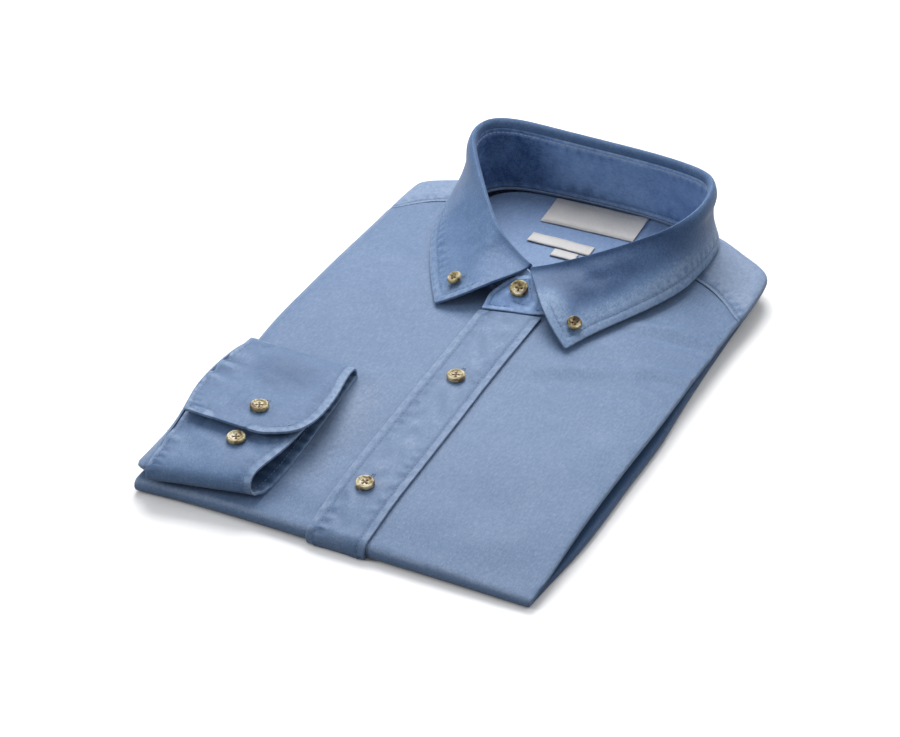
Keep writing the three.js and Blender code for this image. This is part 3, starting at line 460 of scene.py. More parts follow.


# %% [markdown]
# ## The denim
# Denim is woven from blue warp and pale weft, so close up it is a fine twill with lighter flecks,
# and washing fades it in soft clouds and along every edge. The colour is a ramp from deep to pale
# blue. Its place on the ramp comes from noise at several sizes, threads drawn out along the warp
# and across it, a slanting twill, the wear and painted light noted on the piece, which move it
# paler, and the painted shade noted on the piece, which moves it deeper. An image
# of denim would need a flat layout of every piece, and its threads would stretch over the folds.

# %% Node helpers
class Recipe:
    """A material's nodes, added one after the other."""

    def __init__(self, name):
        self.material = bpy.data.materials.new(name)
        self.material.use_nodes = True
        self.tree = self.material.node_tree
        self.shader = self.tree.nodes["Principled BSDF"]
        self.place = self.add("ShaderNodeTexCoord").outputs["Object"]

    def add(self, kind, **settings):
        node = self.tree.nodes.new(kind)
        for key, value in settings.items():
            setattr(node, key, value)
        return node

    def link(self, output, socket):
        self.tree.links.new(output, socket)

    def mapped(self, scale=(1, 1, 1), rotation=(0, 0, 0)):
        node = self.add("ShaderNodeMapping")
        node.inputs["Scale"].default_value = scale
        node.inputs["Rotation"].default_value = rotation
        self.link(self.place, node.inputs["Vector"])
        return node.outputs["Vector"]

    def noise(self, scale, detail=2.0, rough=0.5, distort=0.0, at=None):
        node = self.add("ShaderNodeTexNoise")
        node.inputs["Scale"].default_value = scale
        node.inputs["Detail"].default_value = detail
        node.inputs["Roughness"].default_value = rough
        node.inputs["Distortion"].default_value = distort
        self.link(at or self.place, node.inputs["Vector"])
        return node.outputs["Fac"]

    def math(self, kind, a, b):
        node = self.add("ShaderNodeMath", operation=kind)
        for socket, value in zip(node.inputs, (a, b)):
            if isinstance(value, (int, float)):
                socket.default_value = value
            else:
                self.link(value, socket)
        return node.outputs[0]

    def weigh(self, total, value, weight):
        """Adds to total what value, a noise around 0.5, is away from its middle."""
        part = self.math("MULTIPLY", self.math("SUBTRACT", value, 0.5), weight)
        return self.math("ADD", total, part)

    def noted(self, name):
        return self.add("ShaderNodeAttribute", attribute_name=name).outputs["Fac"]

    def ramp(self, value, stops):
        node = self.add("ShaderNodeValToRGB")
        elements = node.color_ramp.elements
        while len(elements) < len(stops):
            elements.new(0.5)
        for element, (position, colour) in zip(elements, stops):
            element.position = position
            element.color = (*colour, 1.0)
        self.link(value, node.inputs["Fac"])
        return node.outputs["Color"]

    def bump(self, height, distance, strength=1.0):
        node = self.add("ShaderNodeBump")
        node.inputs["Distance"].default_value = distance
        node.inputs["Strength"].default_value = strength
        self.link(height, node.inputs["Height"])
        self.link(node.outputs["Normal"], self.shader.inputs["Normal"])

    def set(self, **values):
        for key, value in values.items():
            self.shader.inputs[key.replace("_", " ")].default_value = value


# %% Denim
WARP = (1500.0, 210.0, 1500.0)
WEFT = (260.0, 1500.0, 1500.0)
TWILL = (1700.0, 330.0, 900.0)
# How much the noted wear and painted light pale the cloth, and how much the painted shade deepens it.
PALING_AMOUNT = 0.45
PAINTED_SHADE_DEPTH = 0.34


def denim(name, deep, blue, pale, mottle=0.16):
    """Washed denim from deep to pale, paler where wear and painted light are noted and deeper where painted
    shade is.
    """
    recipe = Recipe(name)
    clouds = recipe.noise(14.0, 2.0)
    patches = recipe.noise(95.0, 3.0, 0.6)
    grain = recipe.noise(430.0, 2.0, 0.6)
    warp_threads = recipe.noise(1.0, 1.0, 0.5, at=recipe.mapped(WARP))
    weft_threads = recipe.noise(1.0, 1.0, 0.5, at=recipe.mapped(WEFT))
    slant = recipe.mapped(TWILL, (0.3, 0.2, math.radians(58)))
    twill = recipe.noise(1.0, 1.0, 0.6, at=slant)
    tone = recipe.weigh(0.5, clouds, 0.14)
    tone = recipe.weigh(tone, patches, mottle)
    tone = recipe.weigh(tone, grain, 0.22)
    tone = recipe.weigh(tone, warp_threads, 0.3)
    tone = recipe.weigh(tone, weft_threads, 0.2)
    tone = recipe.weigh(tone, twill, 0.26)
    # Wear and painted light move the colour paler, painted shade moves it deeper.
    paling = recipe.math("MULTIPLY", recipe.noted("wear_and_painted_light"), recipe.math("ADD", grain, 0.4))
    tone = recipe.math("ADD", tone, recipe.math("MULTIPLY", paling, PALING_AMOUNT))
    kept = recipe.math("MULTIPLY", recipe.noted("shade"), PAINTED_SHADE_DEPTH)
    tone = recipe.math("SUBTRACT", tone, kept)
    colour = recipe.ramp(tone, [(0.0, deep), (0.5, blue), (1.0, pale)])
    recipe.link(colour, recipe.shader.inputs["Base Color"])
    height = recipe.math("MULTIPLY", warp_threads, 0.6)
    height = recipe.math("ADD", height, recipe.math("MULTIPLY", twill, 0.8))
    height = recipe.math("ADD", height, recipe.math("MULTIPLY", grain, 0.8))
    recipe.bump(height, 0.00016, 0.75)
    recipe.set(Roughness=0.58, Sheen_Weight=0.15, Sheen_Roughness=0.45, Specular_IOR_Level=0.38)
    recipe.shader.inputs["Sheen Tint"].default_value = (0.9, 0.95, 1.0, 1.0)
    return recipe.material


BODY_DENIM = denim(
    "washed_denim", (0.02, 0.058, 0.14), (0.088, 0.148, 0.262), (0.22, 0.285, 0.4)
)
CUFF_DENIM = denim(
    "cuff_cloth_denim", (0.018, 0.052, 0.132), (0.073, 0.135, 0.254), (0.205, 0.28, 0.405), mottle=0.3
)
LEAF_DENIM = denim(
    "leaf_denim", (0.012, 0.045, 0.13), (0.06, 0.12, 0.24), (0.19, 0.27, 0.4), mottle=0.26
)
# The stand's denim is strongly mottled, as the faded stand is, and paler than the leaf's as painted light
# inside the neck.
STAND_DENIM_WITH_PAINTED_LIGHT = denim(
    "stand_denim_with_painted_light", (0.012, 0.05, 0.15), (0.137, 0.236, 0.44), (0.28, 0.4, 0.6), mottle=0.55
)
INSIDE_DENIM = denim(
    "inside_denim", (0.024, 0.065, 0.155), (0.12, 0.195, 0.348), (0.27, 0.345, 0.47)
)
DENIMS = (BODY_DENIM, CUFF_DENIM, LEAF_DENIM, STAND_DENIM_WITH_PAINTED_LIGHT, INSIDE_DENIM)
print("denims:", [material.name for material in DENIMS])

# %% [markdown]
# ## Thread, horn and label cloth
# The topstitching is a pale blue thread that has washed with the shirt. The buttons imitate horn:
# cream with olive and brown clouds under a polish. The labels are a dense off-white satin.

# %% Thread, horn and label materials
def thread_material(name, colour):
    recipe = Recipe(name)
    twist = recipe.noise(2600.0, 1.0)
    low = tuple(c * 0.75 for c in colour)
    recipe.link(recipe.ramp(twist, [(0.3, low), (0.7, colour)]), recipe.shader.inputs["Base Color"])
    recipe.bump(twist, 0.00008)
    recipe.set(Roughness=0.7, Sheen_Weight=0.2)
    return recipe.material


def horn_material(name, dark, olive, cream, balance):
    recipe = Recipe(name)
    clouds = recipe.noise(230.0, 2.0, 0.5, 1.0)
    flecks = recipe.noise(620.0, 2.0, 0.6, 0.8)
    value = recipe.weigh(balance, clouds, 2.3)
    value = recipe.weigh(value, flecks, 0.5)
    stops = [(0.12, dark), (0.42, olive), (0.72, cream)]
    recipe.link(recipe.ramp(value, stops), recipe.shader.inputs["Base Color"])
    recipe.bump(flecks, 0.00004)
    recipe.set(Roughness=0.42, Coat_Weight=0.08, Coat_Roughness=0.2)
    return recipe.material


def label_material(name):
    recipe = Recipe(name)
    satin = recipe.noise(1.0, 1.0, 0.5, at=recipe.mapped((2600, 420, 900)))
    soil = recipe.noise(60.0, 2.0)
    value = recipe.weigh(recipe.weigh(0.5, satin, 0.5), soil, 0.6)
    stops = [(0.1, (0.34, 0.33, 0.325)), (0.6, (0.46, 0.45, 0.445)), (0.95, (0.52, 0.51, 0.505))]
    recipe.link(recipe.ramp(value, stops), recipe.shader.inputs["Base Color"])
    recipe.bump(satin, 0.0001)
    recipe.set(Roughness=0.55, Sheen_Weight=0.2)
    return recipe.material


PALE_THREAD = thread_material("pale_thread", (0.15, 0.21, 0.33))
COLLAR_THREAD = thread_material("collar_thread", (0.1, 0.165, 0.285))
NECK_THREAD = thread_material("neck_thread", (0.34, 0.43, 0.58))
BROWN_THREAD = thread_material("brown_thread", (0.16, 0.085, 0.045))
PALE_HORN = horn_material("pale_horn", (0.09, 0.045, 0.018), (0.25, 0.195, 0.07), (0.45, 0.4, 0.27), 0.46)
DARK_HORN = horn_material("dark_horn", (0.045, 0.024, 0.01), (0.2, 0.15, 0.045), (0.37, 0.32, 0.17), 0.42)
LABEL_CLOTH = label_material("label_cloth")
print("horns:", PALE_HORN.name, DARK_HORN.name)

# %% Dressing and stitching a piece
def dress(piece, material, node=None):
    """Gives a piece its finish and its body, and hides the solid that it stands for."""
    piece.data.materials.clear()
    piece.data.materials.append(material)
    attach(piece, "root")
    if node:
        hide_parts(node)
    return piece


def stitch(name, piece, rows, thread):
    """Sews rows of (loop, inset, settings of sew) onto a piece, as one new piece."""
    surface = surface_of(piece)
    threads = bmesh.new()
    made = 0
    for loop, inset, settings in rows:
        made += sew(threads, line_inside(loop, surface, inset), **settings)
    print(f"{name}:", made, "stitches")
    return dress(piece_of(name, threads), thread)


# %% [markdown]
# ## The two fronts
# Each front falls from its shoulder seam to the bottom fold, goes round it and lies flat beneath
# the shirt. A folded shirt isn't ironed: a few long, shallow creases run over it, most of them
# below the collar, and the cloth is paler along the folds.

# %% Creases over the body
BUTTON_SEATS = [(-0.2, 42.2), (0.8, 153.5)]
FLAT_ROUND_BUTTON = 9.0
BODY_CREASES = [
    # start, end, width, depth, bow
    ((30, 180), (124, 227), 6.0, 1.3, 5.0),
    ((26, 168), (104, 190), 9.0, -1.3, 6.0),
    ((58, 252), (122, 270), 3.4, 1.2, 3.0),
    ((66, 245), (122, 260), 3.6, -1.2, 2.0),
    ((84, 262), (116, 281), 2.6, 0.7, 1.0),
    ((80, 216), (124, 231), 3.2, 1.1, 2.5),
    ((90, 209), (122, 220), 3.8, -0.9, 1.0),
    ((48, 206), (108, 212), 6.0, -0.9, 4.0),
    ((36, 152), (104, 140), 15.0, -1.4, 7.0),
    ((30, 100), (114, 124), 18.0, 1.0, -6.0),
    ((24, 52), (96, 60), 14.0, -1.0, 5.0),
    ((60, 16), (112, 40), 12.0, 0.7, 3.0),
    ((-122, 196), (-30, 176), 13.0, -1.0, 6.0),
    ((-112, 246), (-58, 200), 10.0, 0.9, 3.0),
    ((-44, 150), (-26, 60), 11.0, 0.9, -5.0),
    ((-48, 34), (-18, 16), 8.0, 0.8, 2.0),
    ((-118, 288), (-84, 262), 6.0, -0.8, 2.0),
    ((-120, 270), (-92, 250), 4.0, 0.6, 1.0),
]


def body_height(x, y):
    """The creases over the top of the folded body, in millimetres."""
    height = creases_of(x, y, BODY_CREASES)
    height = height + 0.14 * np.sin(x / 9.0 + 0.6 * np.sin(y / 21.0)) * np.sin(y / 12.5 + x / 60.0)
    for bx, by in BUTTON_SEATS:
        height = height * (1 - np.exp(-(((x - bx) ** 2 + (y - by) ** 2) / FLAT_ROUND_BUTTON**2)))
    return height


def lay_on_body(piece):
    """Moves the top of a piece with the body's creases. The collar and the underside stay."""
    points, normals = read_points(piece)
    x, y, z = garment_places(points)
    on_top = smooth(z, 6.0, 9.0) * smooth(abs(normals[:, 2]), 0.1, 0.7)
    under_collar = 1 - smooth(y, 292, 310)
    points[:, 2] += body_height(x, y) * on_top * under_collar * MM
    write_points(piece, points)


def fold_wear(piece, amount):
    """Paler cloth where a piece bends over a fold."""
    _, normals = read_points(piece)
    flat = np.maximum(abs(normals[:, 0]), abs(normals[:, 1]))
    note(piece, "wear_and_painted_light", amount * smooth(flat, 0.15, 0.55) * (1 - smooth(flat, 0.7, 1.0)))


print("creases over the body:", len(BODY_CREASES))

# %% Edges of the fronts' neighbours
CLOTH = 1.2
PLACKET_CLOTH = 1.6
placket_copy = merged_copy("placket")
placket_loops = every_millimetre(placket_copy, PLACKET_CLOTH)
yoke_copy = merged_copy("yoke")
yoke_loops = every_millimetre(yoke_copy, CLOTH)


def placket_side(at, up, inward):
    """Keeps the long sides of the placket: at is in millimetres, up and inward are ways."""
    return (at[1] < 224) & (up[2] > 0.1) & (abs(inward[0]) > 0.6)


def shoulder_seam(at, up, inward):
    """The front rims of the yoke, one over each shoulder."""
    on_shoulder = (at[1] < 330) & (at[1] > 285) & (abs(at[0]) > 50)
    return on_shoulder & (up[2] > 0.4) & (inward[1] > 0.3)


placket_sides = rim_where(placket_loops, placket_side)
shoulder_seams = rim_where(yoke_loops, shoulder_seam)
print("placket sides", len(placket_sides["run"]), "mm")
print("shoulder seams", len(shoulder_seams["run"]), "mm")

# %% Fronts
def paint_front_shade_and_light(front):
    """Paints shade into the cloth that turns in beneath the side folds, and paints light beside the cuff.
    """
    points, normals = read_points(front)
    x, y, z = garment_places(points)
    beneath = np.maximum(1 - smooth(z, 7.2, 8.6), 1 - smooth(normals[:, 2], -0.2, 0.2))
    # Painted shade in the recess under the side folds.
    painted_recess_shade = (1 - smooth(z, 9.0, 13.0)) * smooth(abs(x), 40, 70) * smooth(y, 5, 16)
    add_note(front, "shade", 1.9 * painted_recess_shade * beneath)
    # Painted light beside the cuff, against the shadow that the cuff casts.
    painted_light_beside_cuff = smooth(x, -75, -60) * (1 - smooth(x, -44, -18))
    painted_light_beside_cuff = painted_light_beside_cuff * smooth(y, 18, 45) * (1 - smooth(y, 112, 135))
    add_note(front, "wear_and_painted_light", 0.42 * painted_light_beside_cuff)


for side, node in (("left", "front_left"), ("right", "front_right")):
    front = smoothed(f"shirt_front_{side}", merged_copy(node))
    lay_on_body(front)
    fold_wear(front, 0.5)
    # Painted contact shadows beside the placket's sides and the shoulder seams.
    tuck(front, placket_sides, depth=0.35, width=0.9, dark=1.0)
    tuck(front, shoulder_seams, depth=0.5, width=1.0, dark=0.9)
    paint_front_shade_and_light(front)
    dress(front, BODY_DENIM, node)
    print(front.name, len(front.data.polygons), "faces")

# %% [markdown]
# ## The placket
# The placket is a doubled band down the middle, stitched 5 mm inside both edges. Its stitches
# draw the cloth up into dimples, which show as soft blotches down the whole band. Its long faces
# are cut every 12 mm first, because the band can only follow the creases where it has points.

# %% Placket
PLACKET_INSET = 5.0
cut_across(placket_copy, [place(0, y) for y in range(30, 226, 12)], (0, 1, 0))
placket = smoothed("placket_band", placket_copy)
lay_on_body(placket)
press_seam(
    placket,
    placket_sides,
    PLACKET_INSET,
    depth=0.42,
    pucker=0.42,
    pitch=11.0,
    paling=0.45,
    dark=0.6,
    reach=12.0,
)
points, _ = read_points(placket)
x, y, z = garment_places(points)
blotches = np.sin(y / 3.9 + 1.2 * np.sin(x / 3.1 + y / 29.0) + 0.8 * np.sin(y / 8.3))
blotches = blotches * np.sin(y / 13.0 + x / 5.0) * bell(x, 2, 11)
points[:, 2] += 0.2 * blotches * smooth(z, 6, 9) * MM
write_points(placket, points)
# Painted shade in the hollows of the blotches; their raised tops are paler with wear.
add_note(placket, "shade", 0.4 * np.clip(-blotches, 0, 1))
add_note(placket, "wear_and_painted_light", 0.25 * np.clip(blotches, 0, 1))
dress(placket, BODY_DENIM, "placket")
placket_stitches = stitch("placket_stitches", placket, [(placket_sides, PLACKET_INSET, {})], PALE_THREAD)
print("placket:", len(placket.data.polygons), "faces")

# %% [markdown]
# ## The yoke and the back
# The yoke is the doubled piece over the shoulders. Its seams to the fronts are topstitched on the
# yoke. Inside the neck the back's cloth shows, lying in a shallow dish.

# %% Yoke
SEAM_INSET = 3.0
yoke = smoothed("yoke_band", yoke_copy)
fold_wear(yoke, 0.9)
# Painted light: the yoke's cloth is paler where it faces up.
_, normals = read_points(yoke)
add_note(yoke, "wear_and_painted_light", 0.55 * smooth(normals[:, 2], 0.3, 0.8))
press_seam(
    yoke, shoulder_seams, SEAM_INSET, depth=0.5, pucker=0.25, pitch=7.0, paling=0.5, dark=1.2, reach=4.0
)
dress(yoke, BODY_DENIM, "yoke")
yoke_stitches = stitch("yoke_stitches", yoke, [(shoulder_seams, SEAM_INSET, {})], PALE_THREAD)
print("yoke:", len(yoke.data.polygons), "faces")

# %% Back
back = smoothed("back_inside", merged_copy("back"))
points, _ = read_points(back)
x, y, _ = garment_places(points)
waves = (np.sin(x / 17.0 + y / 40.0) - 1) * np.sin(y / 31.0) ** 2
points[:, 2] += 0.35 * waves * (1 - smooth(y, 318, 330)) * MM
write_points(back, points)
dress(back, INSIDE_DENIM, "back")
print("back:", len(back.data.polygons), "faces")

# %% [markdown]
# ## The collar
# The stand is the band round the neck, and the leaf is sewn to its top and falls over it. Both
# are doubled cloth with a stiffener between, so they bend in large smooth curves. The leaf's edge
# is topstitched almost 6 mm in, and the pulled points draw shallow folds over it.

# %% Creases over the leaf
LEAF_CREASES = [
    # start, end, width, depth, bow
    ((44, 252), (78, 338), 10.0, -1.6, -4.0),
    ((26, 246), (70, 296), 6.5, 1.2, 4.0),
    ((20, 262), (48, 256), 6.0, -1.3, 2.0),
    ((34, 246), (58, 276), 5.0, 1.0, -2.0),
    ((60, 262), (92, 318), 5.0, 0.8, 3.0),
    ((-36, 256), (-62, 266), 7.0, -1.3, 2.0),
    ((-48, 250), (-34, 266), 4.5, 1.0, 0.0),
    ((-78, 296), (-52, 260), 7.0, -1.2, 3.0),
    ((-30, 262), (-50, 286), 6.0, 0.9, 0.0),
    ((-92, 330), (-84, 290), 6.0, -0.7, 2.0),
]
print("creases over the leaf:", len(LEAF_CREASES))

# %% Edge of the leaf
COLLAR_CLOTH = 1.8
LEAF_INSET = 5.6
NECK_MIDDLE = (-2.0, 312.0)


def away_from_neck(at, up):
    """True where the cloth faces away from the middle of the neck."""
    return (at[0] - NECK_MIDDLE[0]) * up[0] + (at[1] - NECK_MIDDLE[1]) * up[1] > 0


def outer_rim(at, up, inward):
    """The leaf's long edge and its two front edges, on the outside of the cloth."""
    low = (at[2] < 41) & ((at[1] < 300) | (at[2] < 36))
    return low & ((up[2] > 0.35) | away_from_neck(at, up)) & (up[2] > -0.2)


copy = merged_copy("collar_leaf")
outer_edge = rim_where(every_millimetre(copy, COLLAR_CLOTH), outer_rim)
leaf = smoothed("collar_leaf_cloth", copy)
print("leaf edge", len(outer_edge["run"]), "mm")


# %% Collar leaf
def press_leaf(piece):
    """Dishes the leaf between its roll and its edge, and adds its creases."""
    points, _ = read_points(piece)
    x, y, z = garment_places(points)
    distance, _ = nearest_on(outer_edge, points, 60.0)
    creases = creases_of(x, y, LEAF_CREASES)
    creases = creases * smooth(y, 222, 236) * (1 - smooth(y, 325, 345))
    dish = -3.6 * np.sin(math.pi * np.clip(distance / 46.0, 0, 1)) ** 1.4
    dish = dish * smooth(z, 25, 30) * (1 - smooth(z, 54, 64))
    outward = np.stack([x - NECK_MIDDLE[0], y - NECK_MIDDLE[1], np.full_like(x, 34.0)], axis=1)
    outward /= np.linalg.norm(outward, axis=1, keepdims=True)
    write_points(piece, points + outward * (creases + dish)[:, None] * MM)


def note_leaf_wear_light_and_shade(piece):
    """Pales the leaf along its edge with wear, a band broadened on its left half by painted light, and
    paints shade over its left half towards the roll.
    """
    points, _ = read_points(piece)
    distance, _ = nearest_on(outer_edge, points, 60.0)
    x, _, z = garment_places(points)
    # Edge wear all round, widened on the left half by a painted light band.
    note(piece, "wear_and_painted_light", 0.8 * bell(distance, 7, 8) * smooth(x, -20, 30))
    add_note(piece, "wear_and_painted_light", 0.4 * bell(distance, 5, 6) * smooth(-x, -20, 30))
    # Painted shade on the left half between the edge band and the roll, weaker at the far end.
    far_end = smooth(x, 62, 88)
    deep = (1.2 - 0.9 * far_end) * smooth(distance, 13, 25) * (1 - smooth(z, 56, 66))
    note(piece, "shade", deep * smooth(x, -10, 30))


press_leaf(leaf)
note_leaf_wear_light_and_shade(leaf)
press_seam(leaf, outer_edge, LEAF_INSET, depth=0.4, pucker=0.34, pitch=7.5, paling=0.75, dark=0.6)
dress(leaf, LEAF_DENIM, "collar_leaf")
leaf_rows = [(outer_edge, LEAF_INSET, {})]
leaf_stitches = stitch("leaf_stitches", leaf, leaf_rows, COLLAR_THREAD)
print("leaf:", len(leaf.data.polygons), "faces")

# %% Edges of the stand
def stand_top(at, up, inward):
    """The upper rim, on the side of the neck."""
    return ~away_from_neck(at, up) & (inward[2] < -0.3) & (at[1] > 250)


def stand_foot(at, up, inward):
    """The lower rim, on the side of the neck."""
    return ~away_from_neck(at, up) & (inward[2] > 0.3) & (at[1] > 250)


def stand_end(at, up, inward):
    """The rim of the buttoned front end, on the outside."""
    return (away_from_neck(at, up) | (up[2] > 0.4)) & (at[1] < 262) & (abs(at[0]) < 40)


copy = merged_copy("collar_stand")
stand_loops = every_millimetre(copy, COLLAR_CLOTH)
stand = smoothed("collar_stand_cloth", copy)
upper, lower, front_end = (rim_where(stand_loops, keep) for keep in (stand_top, stand_foot, stand_end))
print("stand rims", [len(rim["run"]) for rim in (upper, lower, front_end)], "mm")

# %% Collar stand
points, _ = read_points(stand)
x, _, _ = garment_places(points)
# Painted shade towards the stand's end at the wearer's right.
note(stand, "shade", 1.2 * smooth(-x, 28, 62))
press_seam(
    stand, upper, SEAM_INSET, depth=0.45, pucker=0.3, pitch=6.5, paling=0.6, dark=0.55, reach=12.0
)
points, _ = read_points(stand)
distance, _ = nearest_on(upper, points, 6.0)
add_note(stand, "wear_and_painted_light", 1.3 * bell(distance, SEAM_INSET, 0.8))
press_seam(stand, lower, SEAM_INSET, depth=0.4, pucker=0.3, pitch=8.0, paling=0.6, dark=0.8)
press_seam(
    stand, front_end, SEAM_INSET, depth=0.3, pucker=0.15, pitch=7.0, paling=0.7, dark=0.6, reach=5.0
)
dress(stand, STAND_DENIM_WITH_PAINTED_LIGHT, "collar_stand")
neck_rows = [(upper, SEAM_INSET, {"length": 2.6, "gap": 0.25, "width": 0.7, "height": 0.55})]
neck_stitches = stitch("neck_stitches", stand, neck_rows, NECK_THREAD)
stand_rows = [(lower, SEAM_INSET, {"length": 2.4, "gap": 0.5}), (front_end, SEAM_INSET, {})]
stand_stitches = stitch("stand_stitches", stand, stand_rows, COLLAR_THREAD)
print("stand:", len(stand.data.polygons), "faces")

# %% [markdown]
# ## The cuff and the sleeve
# The cuff is a flattened ring of doubled cloth with a rounded overlap on top. Where the sleeve is
# sewn to it the cloth is gathered, so small folds run out from that seam. The sleeve turns over
# the side of the body and goes in under it.

# %% Edges of the cuff
CUFF_INSET = 5.6
CUFF_SEAM_INSET = 2.6


def cuff_free(at, up, inward):
    """The open rim and the rounded overlap, where the cloth faces up."""
    return (up[2] > 0.4) & (at[0] > -112) & (inward[1] > -0.6)


def cuff_under(at, up, inward):
    """The open rim where the cloth faces down."""
    return (up[2] < -0.4) & (at[0] > -100)


def cuff_seam(at, up, inward):
    """The rim that the sleeve is sewn to, on top."""
    return (up[2] > 0.4) & (at[0] < -112) & (at[2] > 24)


copy = merged_copy("cuff")
cuff_loops = every_millimetre(copy, COLLAR_CLOTH)
cuff = smoothed("cuff_cloth", copy)
free_edge, under_edge, seam_edge = (
    rim_where(cuff_loops, keep) for keep in (cuff_free, cuff_under, cuff_seam)
)
print("cuff rims", [len(rim["run"]) for rim in (free_edge, under_edge, seam_edge)], "mm")

# %% Creases over the cuff
CUFF_CREASES = [
    # start, end, width, depth, bow
    ((-124, 108), (-96, 96), 9.0, -2.2, 2.0),
    ((-96, 108), (-58, 99), 8.0, -1.3, 2.0),
    ((-120, 84), (-68, 76), 6.0, -0.9, 3.0),
    ((-118, 96), (-76, 88), 4.0, 0.8, 2.0),
    ((-118, 30), (-84, 24), 5.0, 0.9, 2.0),
    ((-120, 20), (-90, 14), 5.0, -0.7, 1.0),
    ((-102, 66), (-60, 60), 5.0, 0.7, -2.0),
]
print("creases over the cuff:", len(CUFF_CREASES))


# %% Cuff
def gather_cuff(piece):
    """Draws the cuff's cloth up at its seam, pales the tops of its gathers with wear, and paints shade into
    its folds and its inside.
    """
    points, normals = read_points(piece)
    x, y, z = garment_places(points)
    gathers = np.sin(y / 3.4 + 2.0 * np.sin(y / 15.0)) * (0.7 + 0.5 * np.sin(y / 11.0))
    gathers = gathers * bell(x + 124 + 3 * np.sin(y / 6.0), 0, 14.0)
    on_top = smooth(z, 24, 30) * smooth(abs(normals[:, 2]), 0.2, 0.7)
    points[:, 2] += (1.15 * gathers + creases_of(x, y, CUFF_CREASES)) * on_top * MM
    write_points(piece, points)
    # Painted shade between the gathers and in one broad hollow across the cuff's top.
    painted_hollow_shade = crease(x, y, (-112, 106), (-58, 94), 17.0, 0.85, 2.0)
    note(piece, "shade", np.maximum(0.85 * np.clip(-gathers, 0, 1), painted_hollow_shade) * on_top)
    note(piece, "wear_and_painted_light", 0.5 * np.clip(gathers, 0, 1) * on_top)
    # Painted shade inside the cuff, under its top layer and on the layer below it.
    roof = smooth(-normals[:, 2], 0.1, 0.5) * smooth(z, 24, 28)
    ground = smooth(normals[:, 2], 0.1, 0.5) * (1 - smooth(z, 23.5, 25.5)) * smooth(y, 10, 18)
    ripples = 1.0 + 0.5 * np.sin(y / 1.6 + np.sin(y / 5.0))
    add_note(piece, "shade", ripples * (roof + 1.1 * ground))


gather_cuff(cuff)
press_seam(cuff, free_edge, CUFF_INSET, depth=0.4, pucker=0.32, pitch=7.0, paling=0.9, dark=0.6)
press_seam(cuff, under_edge, CUFF_INSET, depth=0.3, pucker=0.2, pitch=7.0, paling=0.9, dark=0.6)
press_seam(
    cuff, seam_edge, CUFF_SEAM_INSET, depth=0.35, pucker=0.25, pitch=6.0, paling=0.7, dark=0.6, reach=5.0
)
dress(cuff, CUFF_DENIM, "cuff")
cuff_rows = [(free_edge, CUFF_INSET, {}), (seam_edge, CUFF_SEAM_INSET, {})]
cuff_stitches = stitch("cuff_stitches", cuff, cuff_rows, PALE_THREAD)
print("cuff:", len(cuff.data.polygons), "faces")

# %% Sleeve and hidden layers
sleeve = smoothed("sleeve_cloth", merged_copy("sleeve"))
fold_wear(sleeve, 0.3)
dress(sleeve, BODY_DENIM, "sleeve")
layers = smoothed("folded_layers_cloth", merged_copy("folded_layers"), 2, crease=0.4)
points, _ = read_points(layers)
x, _, z = garment_places(points)
# Painted shade on the hidden layers at the wearer's left, in the gap under the top fold, deeper higher up.
note(layers, "shade", (1.2 + 1.4 * smooth(z, 12, 24)) * smooth(x, 40, 80))
dress(layers, BODY_DENIM, "folded_layers")
print("sleeve:", len(sleeve.data.polygons), "faces; layers:", len(layers.data.polygons))

# %% [markdown]
# ## The labels
# Three bare labels are sewn inside the neck: a wide one, a narrow one under it and a small tab.
# Woven labels are stiff and lie almost flat, with their corners a little proud.

# %% Labels
LABEL_RIM = 0.6
LABEL_INSET = 1.6
LABEL_SEWING = {"length": 1.6, "gap": 0.5, "width": 0.34, "height": 0.3}
label_threads = bmesh.new()
for node in ("neck_label", "care_label", "size_label"):
    copy = merged_copy(node)
    cut_across(copy, [place(x, 340) for x in range(-40, 40, 4)], (1, 0.1, 0))
    label_edge = rim_where(every_millimetre(copy, LABEL_RIM), lambda at, up, inward: up[2] > 0.4)
    label = smoothed(f"{node}_cloth", copy, 2, crease=1.0)
    points, _ = read_points(label)
    x, y, _ = garment_places(points)
    points[:, 2] += 0.12 * (1 + np.sin(x / 4.3 + y / 9.0)) * MM
    write_points(label, points)
    dress(label, LABEL_CLOTH, node)
    if node == "neck_label":
        line = line_inside(label_edge, surface_of(label), LABEL_INSET)
        print("label stitches:", sew(label_threads, line, **LABEL_SEWING))
LABEL_THREAD = thread_material("label_thread", (0.42, 0.41, 0.4))
label_stitches = dress(piece_of("label_stitches", label_threads), LABEL_THREAD)

# %% [markdown]
# ## The buttons
# Shirt buttons are turned discs with a raised rim and a dished middle. The profile is spun round
# its axis, and four small holes are cut through with a boolean. The thread crosses between the
# holes. Each button takes its seat, tilt and size from its solid.

# %% Where a button sits
def button_seat(node):
    """Where a button's base is, the way it faces, its radius and height."""
    vertices = np.array([v.co for v in frame["nodes"][node].data.vertices])
    middle = (vertices.max(axis=0) + vertices.min(axis=0)) / 2
    _, _, ways = np.linalg.svd(vertices - vertices.mean(axis=0), full_matrices=False)
    up = ways[2] if ways[2][2] > 0 else -ways[2]
    heights = vertices @ up
    middle = middle + up * (heights.min() - middle @ up)
    flat = vertices - middle
    flat -= np.outer(flat @ up, up)
    radius = np.linalg.norm(flat, axis=1).max()
    return Vector(middle), Vector(up), radius / MM, (heights.max() - heights.min()) / MM


# %% Turning and boring a button
HOLES = 4
HOLE_RADIUS = 0.72


